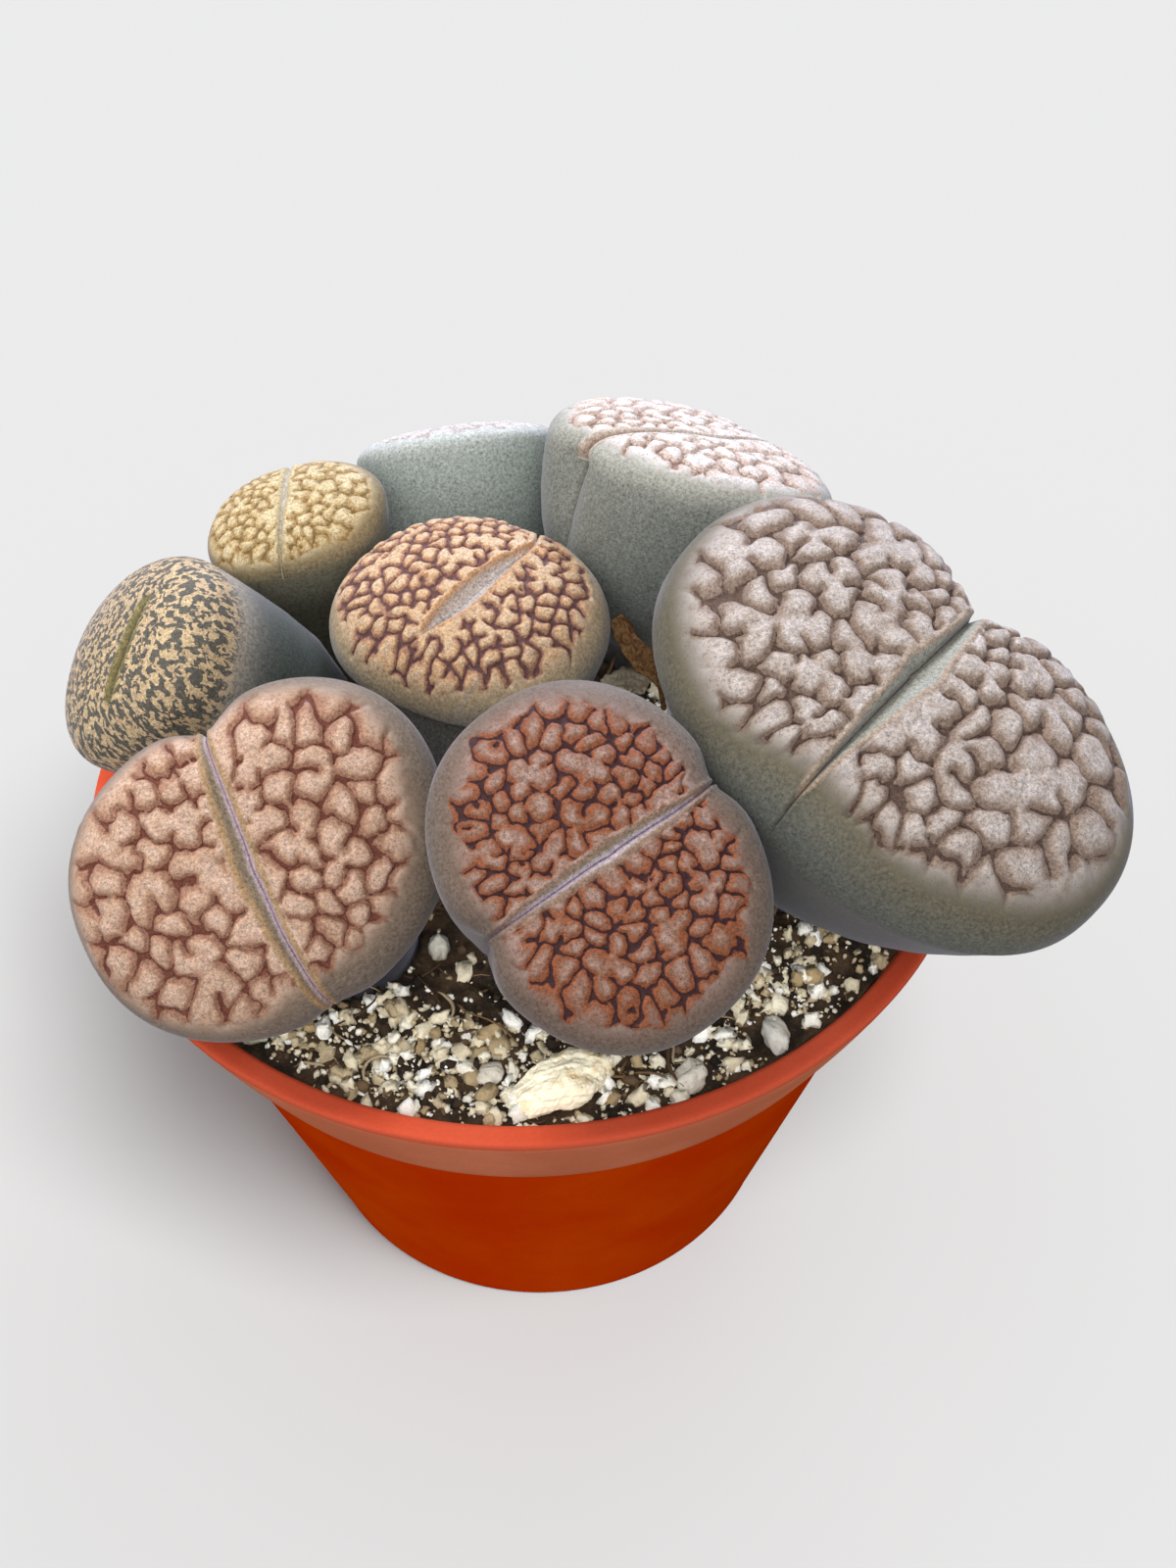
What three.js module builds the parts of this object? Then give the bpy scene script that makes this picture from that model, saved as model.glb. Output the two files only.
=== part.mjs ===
// Potted lithops: eight living-stone plants in a small terracotta-coloured plastic pot.
// Millimetres, +Z up. The origin is the centre of the pot's foot.

import * as THREE from 'three';
import { mergeVertices } from 'three/addons/utils/BufferGeometryUtils.js';

// Pot
const POT_HEIGHT = 64.5;
const RIM_RADIUS = 50;
const RIM_INNER = 47.35;
const COLLAR_BOTTOM_Z = 49.4;
const COLLAR_BOTTOM_RADIUS = 44.1;
const WALL_TOP_RADIUS = 42.9;
const BASE_RADIUS = 30.3;
const WALL_THICKNESS = 1.8;
const FLOOR_THICKNESS = 2.2;
const POT_SIDES = 52;
const DRAIN_COUNT = 5;
const DRAIN_RADIUS = 4;
const DRAIN_CIRCLE = 19;
const DRAIN_SIDES = 12;

// Soil
const SOIL_Z = 61.3;
const SOIL_GAP = 0.35;
const SOIL_SPACING = 4.6;
const HOLE_BOTTOM_Z = 55.7;
const HOLE_CLEARANCE = 0.42;
const HOLE_SIDES = 24;

// Plants
const HEAD_SIDES = 36;
const ROOT_BOTTOM_Z = 56.1;
const NECK_Z = 63.2;
const OUTLINE_POWER = 2.25;
const NOTCH_WIDTH = 0.19;

// Seeded random numbers, so that every build is the same
function randomSource(seed) {
  let state = seed >>> 0;
  return function next() {
    state = (state + 0x6d2b79f5) >>> 0;
    let t = state;
    t = Math.imul(t ^ (t >>> 15), t | 1);
    t ^= t + Math.imul(t ^ (t >>> 7), t | 61);
    return ((t ^ (t >>> 14)) >>> 0) / 4294967296;
  };
}

// Centre of the circle through three points in the plane
function circleCentre(a, b, c) {
  const d = 2 * (a[0] * (b[1] - c[1]) + b[0] * (c[1] - a[1]) + c[0] * (a[1] - b[1]));
  const a2 = a[0] * a[0] + a[1] * a[1];
  const b2 = b[0] * b[0] + b[1] * b[1];
  const c2 = c[0] * c[0] + c[1] * c[1];
  const x = (a2 * (b[1] - c[1]) + b2 * (c[1] - a[1]) + c2 * (a[1] - b[1])) / d;
  const y = (a2 * (c[0] - b[0]) + b2 * (a[0] - c[0]) + c2 * (b[0] - a[0])) / d;
  return { x, y };
}

// Whether p lies inside the circle through a, b and c, which run anticlockwise
function inCircle(a, b, c, p) {
  const [ax, ay] = [a[0] - p[0], a[1] - p[1]];
  const [bx, by] = [b[0] - p[0], b[1] - p[1]];
  const [cx, cy] = [c[0] - p[0], c[1] - p[1]];
  const a2 = ax * ax + ay * ay;
  const b2 = bx * bx + by * by;
  const c2 = cx * cx + cy * cy;
  return ax * (by * c2 - b2 * cy) - ay * (bx * c2 - b2 * cx) + a2 * (bx * cy - by * cx) > 0;
}

// Delaunay triangles of points in the plane, each running anticlockwise
function triangulate(points) {
  const n = points.length;
  const far = 600 * Math.max(...points.map((p) => Math.hypot(p[0], p[1])));
  const all = points.concat([[-far, -0.9 * far], [1.1 * far, -0.8 * far], [0.05 * far, far]]);
  let triangles = [[n, n + 1, n + 2]];
  for (let i = 0; i < n; i += 1) {
    const edges = new Map();
    const kept = [];
    for (const t of triangles) {
      if (inCircle(all[t[0]], all[t[1]], all[t[2]], all[i])) {
        for (let k = 0; k < 3; k += 1) {
          const from = t[k];
          const to = t[(k + 1) % 3];
          const back = `${to}_${from}`;
          if (edges.has(back)) edges.delete(back);
          else edges.set(`${from}_${to}`, [from, to]);
        }
      } else {
        kept.push(t);
      }
    }
    for (const [from, to] of edges.values()) kept.push([from, to, i]);
    triangles = kept;
  }
  return triangles.filter((t) => t.every((k) => k < n));
}

// The same points moved by a hair, so that no four of them share a circle
function nudged(points) {
  const hair = 2e-6 * Math.max(...points.map((p) => Math.hypot(p[0], p[1])));
  return points.map((p, i) => [p[0] + hair * Math.sin(91.7 * i), p[1] + hair * Math.cos(57.3 * i + 1)]);
}

// Points kept at least a given distance apart
function pointStore() {
  const list = [];
  const add = (x, y, tag, clear) => {
    for (const p of list) {
      if ((p[0] - x) ** 2 + (p[1] - y) ** 2 < clear * clear) return -1;
    }
    list.push([x, y, tag]);
    return list.length - 1;
  };
  return { list, add };
}

// Triangle list with its own vertices, turned into one closed geometry
function geometryOf(vertices, faces) {
  const geometry = new THREE.BufferGeometry();
  geometry.setAttribute('position', new THREE.Float32BufferAttribute(vertices.flat(), 3));
  geometry.setIndex(faces.flat());
  const merged = mergeVertices(geometry, 1e-4);
  merged.computeVertexNormals();
  return merged;
}

// Smoothly varying bumps for stones and soil
function bumps(x, y, z) {
  return (
    Math.sin(1.7 * x + 0.9 * y + 1.3) * Math.cos(1.3 * y - 0.8 * z + 0.4) +
    0.6 * Math.sin(2.9 * y + 1.9 * z + 2.1) * Math.cos(2.3 * x + 1.1 * z)
  );
}

// Axes of a head: P runs along the fissure, Q across it and N out of the face
function headAxes(spec) {
  const lean = THREE.MathUtils.degToRad(spec.lean);
  const azimuth = THREE.MathUtils.degToRad(spec.azimuth);
  const yaw = THREE.MathUtils.degToRad(spec.yaw);
  const axis = new THREE.Vector3(-Math.sin(azimuth), Math.cos(azimuth), 0);
  const turn = new THREE.Quaternion().setFromAxisAngle(axis, lean);
  const P = new THREE.Vector3(Math.cos(yaw), Math.sin(yaw), 0).applyQuaternion(turn);
  const Q = new THREE.Vector3(-Math.sin(yaw), Math.cos(yaw), 0).applyQuaternion(turn);
  const N = new THREE.Vector3(0, 0, 1).applyQuaternion(turn);
  return { P, Q, N };
}

// Two-lobed outline of a head seen along its normal; skew pushes a lobe towards the plus end
function outlineRadius(spec, phi, notchShare) {
  const c = Math.cos(phi);
  const s = Math.sin(phi);
  const side = s > 0 ? 1 : 0;
  const across = spec.halfAcross[side];
  const sum = Math.abs(c / spec.halfAlong) ** OUTLINE_POWER + Math.abs(s / across) ** OUTLINE_POWER;
  const notch = c > 0 ? spec.notch[1] : spec.notch[0];
  const skewed = 1 + 2 * spec.skew[side] * c * Math.abs(s);
  const notched = 1 - notchShare * notch * Math.exp(-((s / NOTCH_WIDTH) ** 2));
  return sum ** (-1 / OUTLINE_POWER) * skewed * notched;
}

// Table of the cap's profile by arc length, from the middle of the face to the shoulder
function capProfile(spec) {
  const mean = Math.sqrt((spec.halfAlong * (spec.halfAcross[0] + spec.halfAcross[1])) / 2);
  const steps = 240;
  const rows = [];
  let length = 0;
  for (let i = 0; i <= steps; i += 1) {
    const angle = ((Math.PI / 2) * i) / steps;
    const q = Math.sin(angle) ** (2 / spec.capPower);
    const w = spec.capHeight * (Math.max(0, Math.cos(angle)) ** (2 / spec.capPower) - 1);
    if (i > 0) length += Math.hypot((q - rows[i - 1].q) * mean, w - rows[i - 1].w);
    rows.push({ q, w, length });
  }
  return (share) => {
    const target = share * length;
    let k = 1;
    while (k < steps && rows[k].length < target) k += 1;
    const low = rows[k - 1];
    const high = rows[k];
    const f = Math.min(1, (target - low.length) / (high.length - low.length));
    return { q: low.q + f * (high.q - low.q), w: low.w + f * (high.w - low.w) };
  };
}

// Depth of the fissure at a place of the unit disc
function fissureDepth(spec, u, v) {
  const f = spec.fissure;
  const fade = 0.16;
  const inA = f.open[0] ? 1 : THREE.MathUtils.smoothstep(u, f.from - fade, f.from + fade);
  const inB = f.open[1] ? 1 : 1 - THREE.MathUtils.smoothstep(u, f.to - fade, f.to + fade);
  const along = inA * inB;
  const valley = f.valley * Math.exp(-((v / f.valleyWidth) ** 2));
  const slit = f.slit * Math.exp(-(Math.abs(v / f.slitWidth) ** 3));
  return along * (valley + slit);
}

// Surface of the face: a place in the unit disc and a lift along the normal
function faceSurface(spec, axes) {
  const profile = capProfile(spec);
  const top = new THREE.Vector3(...spec.top);
  const bare = (u, v) => {
    const share = Math.min(1, Math.hypot(u, v));
    const phi = Math.atan2(v, u);
    const { q, w } = profile(share);
    const radius = q * outlineRadius(spec, phi, share * share);
    return top.clone()
      .addScaledVector(axes.P, radius * Math.cos(phi))
      .addScaledVector(axes.Q, radius * Math.sin(phi))
      .addScaledVector(axes.N, w);
  };
  return (u, v, lift) => {
    const here = bare(u, v);
    if (lift === 0) return here;
    const e = 0.012;
    const scale = Math.min(1, 0.985 / Math.max(0.001, Math.hypot(u, v)));
    const du = bare(u * scale + e, v * scale).sub(bare(u * scale - e, v * scale));
    const dv = bare(u * scale, v * scale + e).sub(bare(u * scale, v * scale - e));
    return here.addScaledVector(du.cross(dv).normalize(), lift);
  };
}

// Raised islands of the face: cells around scattered points, joined here and there into lobes,
// with sunken lines between cells that belong to different islands
function facePoints(spec) {
  const random = randomSource(spec.seed);
  const space = spec.cell;
  const reach = spec.netReach;
  const slitHalf = spec.fissure.slitWidth * 1.5;
  const sites = [];
  for (let tries = 0; tries < 6000; tries += 1) {
    const radius = reach * Math.sqrt(random());
    const angle = 2 * Math.PI * random();
    const u = radius * Math.cos(angle);
    const v = radius * Math.sin(angle);
    const besideSlit = u > spec.fissure.from - space / 2 && u < spec.fissure.to + space / 2;
    const clearOfSlit = !besideSlit || Math.abs(v) > slitHalf + space * 0.45;
    if (clearOfSlit && sites.every((s) => Math.hypot(s[0] - u, s[1] - v) > space)) sites.push([u, v]);
  }
  const real = sites.length;
  const island = sites.map((s, i) => i);
  for (let i = 0; i < real; i += 1) {
    for (let j = i + 1; j < real; j += 1) {
      const near = Math.hypot(sites[i][0] - sites[j][0], sites[i][1] - sites[j][1]) < space * 1.25;
      const sameSide = sites[i][1] * sites[j][1] > 0;
      const size = island.filter((k) => k === island[i] || k === island[j]).length;
      if (near && sameSide && size <= 2 && random() < 0.12) {
        const from = island[j];
        const to = island[i];
        for (let k = 0; k < real; k += 1) if (island[k] === from) island[k] = to;
      }
    }
  }
  const rim = 26;
  for (let i = 0; i < rim; i += 1) {
    const angle = (2 * Math.PI * (i + 0.5)) / rim;
    sites.push([(reach + space * 0.75) * Math.cos(angle), (reach + space * 0.75) * Math.sin(angle)]);
  }
  for (let u = spec.fissure.from; u <= spec.fissure.to + 0.001; u += space * 0.8) {
    if (Math.abs(u) < reach) sites.push([u, 0.0007 * Math.sin(40 * u)]);
  }
  const cells = triangulate(nudged(sites));
  const store = pointStore();
  const dome = spec.relief;

  // Shoulder ring, a smooth margin and the fissure come first
  for (let i = 0; i < HEAD_SIDES; i += 1) {
    const phi = (2 * Math.PI * i) / HEAD_SIDES;
    store.list.push([Math.cos(phi), Math.sin(phi), 0]);
  }
  for (let i = 0; i < HEAD_SIDES; i += 1) {
    const phi = (2 * Math.PI * (i + 0.5)) / HEAD_SIDES;
    const u = 0.95 * Math.cos(phi);
    const v = 0.95 * Math.sin(phi);
    store.list.push([u, v, 0]);
  }
  for (let u = spec.fissure.from; u <= spec.fissure.to + 0.001; u += 0.13) {
    if (Math.abs(u) < 0.93) {
      store.add(u, 0, 0, 0.03);
      store.add(u + 0.05, slitHalf, 0, 0.03);
      store.add(u + 0.05, -slitHalf, 0, 0.03);
    }
  }

  // Corners of the cells lie low, and the cells rise inside them
  const corner = cells.map((t) => circleCentre(...t.map((k) => sites[k])));
  const isGroove = (a, b) => a < real && b < real && island[a] !== island[b];
  cells.forEach((t, index) => {
    const c = corner[index];
    const low = isGroove(t[0], t[1]) || isGroove(t[1], t[2]) || isGroove(t[2], t[0]);
    if (low && Math.hypot(c.x, c.y) < 0.93 && Math.abs(c.y) > slitHalf + 0.03) {
      store.add(c.x, c.y, -dome * 0.6, space * 0.13);
    }
  });
  const edges = new Map();
  cells.forEach((t, index) => {
    for (let k = 0; k < 3; k += 1) {
      const a = Math.min(t[k], t[(k + 1) % 3]);
      const b = Math.max(t[k], t[(k + 1) % 3]);
      const key = `${a}_${b}`;
      if (!edges.has(key)) edges.set(key, { a, b, ends: [] });
      edges.get(key).ends.push(index);
    }
  });
  for (const { a, b, ends } of edges.values()) {
    if (ends.length === 2 && isGroove(a, b)) {
      const x = (corner[ends[0]].x + corner[ends[1]].x) / 2;
      const y = (corner[ends[0]].y + corner[ends[1]].y) / 2;
      const long = Math.hypot(corner[ends[0]].x - corner[ends[1]].x, corner[ends[0]].y - corner[ends[1]].y);
      if (long > space * 0.35 && Math.hypot(x, y) < 0.93 && Math.abs(y) > slitHalf + 0.03) {
        store.add(x, y, -dome * 0.6, space * 0.15);
      }
    }
  }
  cells.forEach((t, index) => {
    const c = corner[index];
    for (const k of t) {
      if (k < real) {
        const x = sites[k][0] + 0.62 * (c.x - sites[k][0]);
        const y = sites[k][1] + 0.62 * (c.y - sites[k][1]);
        const inside = Math.hypot(x, y) < 0.91 && Math.abs(y) > slitHalf + 0.02;
        if (inside) store.add(x, y, dome * 0.5, space * 0.24);
      }
    }
  });
  for (let k = 0; k < real; k += 1) store.add(sites[k][0], sites[k][1], dome * 0.75, space * 0.2);
  return store.list;
}

// One lithops body: patterned face, swollen wall along a bent spine, and a round root
function lithops(spec) {
  const axes = headAxes(spec);
  const surface = faceSurface(spec, axes);
  const list = facePoints(spec);
  const faces = triangulate(nudged(list));
  const vertices = list.map((p, i) => {
    const lift = i < HEAD_SIDES ? 0 : p[2] - fissureDepth(spec, p[0], p[1]);
    return surface(p[0], p[1], lift).toArray();
  });

  // Wall rings, from the shoulder down to the neck, then the root
  const base = new THREE.Vector3(spec.root[0], spec.root[1], NECK_Z);
  const shoulder = new THREE.Vector3(...spec.top).addScaledVector(axes.N, -spec.capHeight);
  const span = shoulder.distanceTo(base);
  const spine = new THREE.CubicBezierCurve3(
    shoulder,
    shoulder.clone().addScaledVector(axes.N, -span * 0.5),
    base.clone().add(new THREE.Vector3(0, 0, span * 0.38)),
    base,
  );
  const round = Math.sqrt((spec.halfAlong * (spec.halfAcross[0] + spec.halfAcross[1])) / 2);
  const endScale = spec.rootRadius / round;
  let ring = Array.from({ length: HEAD_SIDES }, (_, i) => i);
  const addRing = (places) => {
    const start = vertices.length;
    places.forEach((p) => vertices.push(p));
    for (let i = 0; i < HEAD_SIDES; i += 1) {
      const j = (i + 1) % HEAD_SIDES;
      faces.push([ring[i], start + i, start + j], [ring[i], start + j, ring[j]]);
    }
    ring = places.map((p, i) => start + i);
  };
  const steps = [0.07, 0.18, 0.34, 0.52, 0.74, 1];
  for (const t of steps) {
    const centre = spine.getPoint(t);
    const upward = spine.getTangent(t).negate().normalize();
    const turn = new THREE.Quaternion().setFromUnitVectors(axes.N, upward);
    const P = axes.P.clone().applyQuaternion(turn);
    const Q = axes.Q.clone().applyQuaternion(turn);
    const scale = 1 + (endScale - 1) * t ** spec.swell;
    const lobed = Math.max(0, 1 - 1.6 * t);
    const places = [];
    for (let i = 0; i < HEAD_SIDES; i += 1) {
      const phi = (2 * Math.PI * i) / HEAD_SIDES;
      const radius = (outlineRadius(spec, phi, lobed) * (1 - t) + round * t) * scale;
      places.push(centre.clone()
        .addScaledVector(P, radius * Math.cos(phi))
        .addScaledVector(Q, radius * Math.sin(phi))
        .toArray());
    }
    addRing(places);
  }
  const foot = ring.map((k) => [vertices[k][0], vertices[k][1], ROOT_BOTTOM_Z]);
  addRing(foot);
  const centre = vertices.length;
  vertices.push([spec.root[0], spec.root[1], ROOT_BOTTOM_Z]);
  for (let i = 0; i < HEAD_SIDES; i += 1) faces.push([centre, ring[(i + 1) % HEAD_SIDES], ring[i]]);
  return geometryOf(vertices, faces);
}

// Flat face bounded by a circle, with round openings left out of it
function piercedDisc(radius, sides, holes, holeRadius, holeSides, filler) {
  const points = [];
  const rim = [];
  for (let i = 0; i < sides; i += 1) {
    const a = (2 * Math.PI * i) / sides;
    rim.push(points.length);
    points.push([radius * Math.cos(a), radius * Math.sin(a)]);
  }
  const edges = holes.map(([x, y], h) => Array.from({ length: holeSides[h] }, (_, i) => {
    const a = (2 * Math.PI * (i + 0.5)) / holeSides[h];
    points.push([x + holeRadius[h] * Math.cos(a), y + holeRadius[h] * Math.sin(a)]);
    return points.length - 1;
  }));
  for (const p of filler) points.push(p);
  const inOneHole = (t) => edges.some((e) => t.every((k) => e.includes(k)));
  const faces = triangulate(nudged(points)).filter((t) => !inOneHole(t));
  return { points, rim, edges, faces };
}

function pot() {
  const drains = Array.from({ length: DRAIN_COUNT }, (_, i) => {
    const a = (2 * Math.PI * (i + 0.25)) / DRAIN_COUNT;
    return [DRAIN_CIRCLE * Math.cos(a), DRAIN_CIRCLE * Math.sin(a)];
  });
  const radii = drains.map(() => DRAIN_RADIUS);
  const sides = drains.map(() => DRAIN_SIDES);
  const outer = [
    [BASE_RADIUS - 0.6, 0],
    [BASE_RADIUS, 0.8],
    [WALL_TOP_RADIUS, COLLAR_BOTTOM_Z - 0.3],
    [COLLAR_BOTTOM_RADIUS, COLLAR_BOTTOM_Z],
    [RIM_RADIUS, POT_HEIGHT - 0.5],
    [RIM_RADIUS - 0.5, POT_HEIGHT],
    [RIM_INNER + 0.4, POT_HEIGHT],
    [RIM_INNER, POT_HEIGHT - 0.5],
    [WALL_TOP_RADIUS - WALL_THICKNESS, COLLAR_BOTTOM_Z],
    [BASE_RADIUS - WALL_THICKNESS + 0.5, FLOOR_THICKNESS],
  ];
  const vertices = [];
  const faces = [];
  const rings = outer.map(([r, z]) => {
    const start = vertices.length;
    for (let i = 0; i < POT_SIDES; i += 1) {
      const a = (2 * Math.PI * i) / POT_SIDES;
      vertices.push([r * Math.cos(a), r * Math.sin(a), z]);
    }
    return start;
  });
  for (let k = 0; k + 1 < rings.length; k += 1) {
    for (let i = 0; i < POT_SIDES; i += 1) {
      const j = (i + 1) % POT_SIDES;
      const [a, b] = [rings[k] + i, rings[k] + j];
      const [c, d] = [rings[k + 1] + i, rings[k + 1] + j];
      faces.push([a, b, d], [a, d, c]);
    }
  }
  const floor = (r, z, up) => {
    const disc = piercedDisc(r, POT_SIDES, drains, radii, sides, [[0, 0], [9, 2], [-7, 6], [-4, -8]]);
    const start = vertices.length;
    disc.points.forEach((p) => vertices.push([p[0], p[1], z]));
    disc.faces.forEach(([a, b, c]) => {
      if (up) faces.push([start + a, start + b, start + c]);
      else faces.push([start + a, start + c, start + b]);
    });
    return disc.edges.map((e) => e.map((k) => start + k));
  };
  const low = floor(outer[0][0], 0, false);
  const high = floor(outer[outer.length - 1][0], FLOOR_THICKNESS, true);
  low.forEach((edge, h) => {
    edge.forEach((a, i) => {
      const b = edge[(i + 1) % edge.length];
      const c = high[h][i];
      const d = high[h][(i + 1) % edge.length];
      faces.push([a, d, b], [a, c, d]);
    });
  });
  return geometryOf(vertices, faces);
}

// Height of the soil's lumpy surface
function soilHeight(x, y) {
  const lump = 0.42 * bumps(x * 0.21, y * 0.23, 0.4) + 0.3 * bumps(x * 0.62 + 3, y * 0.58, 1.7);
  return SOIL_Z + lump;
}

function soil(plants, stones) {
  const random = randomSource(41);
  const innerAt = (z) => {
    const share = (z - FLOOR_THICKNESS) / (COLLAR_BOTTOM_Z - FLOOR_THICKNESS);
    const low = BASE_RADIUS - WALL_THICKNESS + 0.5;
    const mid = WALL_TOP_RADIUS - WALL_THICKNESS;
    if (share < 1) return low + share * (mid - low);
    return mid + ((z - COLLAR_BOTTOM_Z) / (POT_HEIGHT - 0.5 - COLLAR_BOTTOM_Z)) * (RIM_INNER - mid);
  };
  const edgeRadius = innerAt(SOIL_Z) - SOIL_GAP - 0.15;
  const holes = plants.map((p) => p.root);
  const holeRadius = plants.map((p) => p.rootRadius + HOLE_CLEARANCE);
  const holeSides = plants.map(() => HOLE_SIDES);
  const filler = [];
  const free = (x, y, clear) => Math.hypot(x, y) < edgeRadius - 0.45 * clear &&
    holes.every((h, i) => Math.hypot(h[0] - x, h[1] - y) > holeRadius[i] + 0.3 * clear) &&
    filler.every((p) => Math.hypot(p[0] - x, p[1] - y) > clear);
  for (let tries = 0; tries < 9000; tries += 1) {
    const r = edgeRadius * Math.sqrt(random());
    const a = 2 * Math.PI * random();
    const x = r * Math.cos(a);
    const y = r * Math.sin(a);
    if (free(x, y, SOIL_SPACING * (0.8 + 0.4 * random()))) filler.push([x, y]);
  }
  const disc = piercedDisc(edgeRadius, POT_SIDES, holes, holeRadius, holeSides, filler);
  const vertices = [];
  const faces = [];
  const bedUnder = (x, y) => stones.reduce((low, s) => {
    const away = Math.hypot(x - s.at[0], y - s.at[1]) - s.size[0] / 2;
    return away < 4.6 ? Math.min(low, s.bed) : low;
  }, 99);
  disc.points.forEach(([x, y], i) => {
    const atRim = i < POT_SIDES;
    const chance = atRim ? 0 : 1.1 * (random() - 0.5);
    const z = atRim ? SOIL_Z + 0.3 * Math.sin(5 * i) : soilHeight(x, y) + chance;
    const nearHole = holes.some((h, k) => Math.hypot(h[0] - x, h[1] - y) < holeRadius[k] + 3.2);
    const level = Math.min(z, nearHole ? SOIL_Z - 0.2 : 99, bedUnder(x, y));
    const inward = atRim ? (innerAt(level) - SOIL_GAP - 0.1) / edgeRadius : 1;
    vertices.push([x * inward, y * inward, level]);
  });
  disc.faces.forEach((f) => faces.push(f));

  // Blind holes for the roots
  disc.edges.forEach((edge, h) => {
    const bottom = edge.map((k) => {
      vertices.push([vertices[k][0], vertices[k][1], HOLE_BOTTOM_Z]);
      return vertices.length - 1;
    });
    const centre = vertices.length;
    vertices.push([holes[h][0], holes[h][1], HOLE_BOTTOM_Z]);
    edge.forEach((a, i) => {
      const j = (i + 1) % edge.length;
      faces.push([edge[i], bottom[j], bottom[i]], [edge[i], edge[j], bottom[j]]);
      faces.push([centre, bottom[i], bottom[j]]);
    });
  });

  // Side against the pot and the bottom on its floor
  const levels = [COLLAR_BOTTOM_Z, FLOOR_THICKNESS + SOIL_GAP];
  let ring = disc.rim;
  levels.forEach((z) => {
    const start = vertices.length;
    for (let i = 0; i < POT_SIDES; i += 1) {
      const a = (2 * Math.PI * i) / POT_SIDES;
      const r = innerAt(z) - SOIL_GAP - 0.1;
      vertices.push([r * Math.cos(a), r * Math.sin(a), z]);
    }
    for (let i = 0; i < POT_SIDES; i += 1) {
      const j = (i + 1) % POT_SIDES;
      faces.push([ring[i], start + i, start + j], [ring[i], start + j, ring[j]]);
    }
    ring = Array.from({ length: POT_SIDES }, (_, i) => start + i);
  });
  const centre = vertices.length;
  vertices.push([0, 0, FLOOR_THICKNESS + SOIL_GAP]);
  for (let i = 0; i < POT_SIDES; i += 1) faces.push([centre, ring[(i + 1) % POT_SIDES], ring[i]]);
  return geometryOf(vertices, faces);
}

// Rounded, dented stone that lies on its bed in the soil
function stone(spec) {
  const geometry = new THREE.IcosahedronGeometry(1, spec.detail);
  geometry.deleteAttribute('normal');
  geometry.deleteAttribute('uv');
  const merged = mergeVertices(geometry, 1e-4);
  const place = merged.attributes.position;
  const turn = new THREE.Euler(0, 0, THREE.MathUtils.degToRad(spec.turn));
  const floor = spec.bed + 0.3;
  for (let i = 0; i < place.count; i += 1) {
    const p = new THREE.Vector3().fromBufferAttribute(place, i);
    const dent = 1 + 0.13 * bumps(2.1 * p.x + spec.seed, 2.1 * p.y, 2.1 * p.z);
    p.multiplyScalar(dent);
    p.set(p.x * spec.size[0] / 2, p.y * spec.size[1] / 2, p.z * spec.size[2] / 2);
    p.applyEuler(turn);
    p.z = Math.max(p.z, -0.3 * spec.size[2]);
    place.setXYZ(i, p.x + spec.at[0], p.y + spec.at[1], p.z + floor + 0.3 * spec.size[2]);
  }
  merged.computeVertexNormals();
  return merged;
}

// Dry sheath: a strip of even thickness that follows a curled path
function strip(spec) {
  const curve = new THREE.CatmullRomCurve3(spec.path.map((p) => new THREE.Vector3(...p)));
  const vertices = [];
  const faces = [];
  const count = spec.steps;
  for (let i = 0; i <= count; i += 1) {
    const t = i / count;
    const centre = curve.getPoint(t);
    const forward = curve.getTangent(t);
    const wide = new THREE.Vector3(...spec.wide).applyAxisAngle(forward, spec.twist * t);
    wide.addScaledVector(forward, -wide.dot(forward)).normalize();
    const thick = new THREE.Vector3().crossVectors(forward, wide).normalize();
    const half = (spec.width / 2) * (0.55 + 0.45 * Math.sin(Math.PI * (0.15 + 0.75 * t)));
    const cup = spec.cup * half;
    const across = [-1, 0, 1, 1, 0, -1];
    across.forEach((a, k) => {
      const side = k < 3 ? 0.5 : -0.5;
      vertices.push(centre.clone()
        .addScaledVector(wide, a * half)
        .addScaledVector(thick, side * spec.thickness + cup * (a * a))
        .toArray());
    });
  }
  for (let i = 0; i < count; i += 1) {
    for (let k = 0; k < 6; k += 1) {
      const a = i * 6 + k;
      const b = i * 6 + ((k + 1) % 6);
      faces.push([a, a + 6, b + 6], [a, b + 6, b]);
    }
  }
  const cap = (s, flip) => {
    const quads = [[0, 1, 4, 5], [1, 2, 3, 4]];
    quads.forEach(([a, b, c, d]) => {
      const one = [s + a, s + b, s + c];
      const two = [s + a, s + c, s + d];
      faces.push(flip ? one.reverse() : one, flip ? two.reverse() : two);
    });
  };
  cap(0, false);
  cap(count * 6, true);
  return geometryOf(vertices, faces);
}

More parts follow.
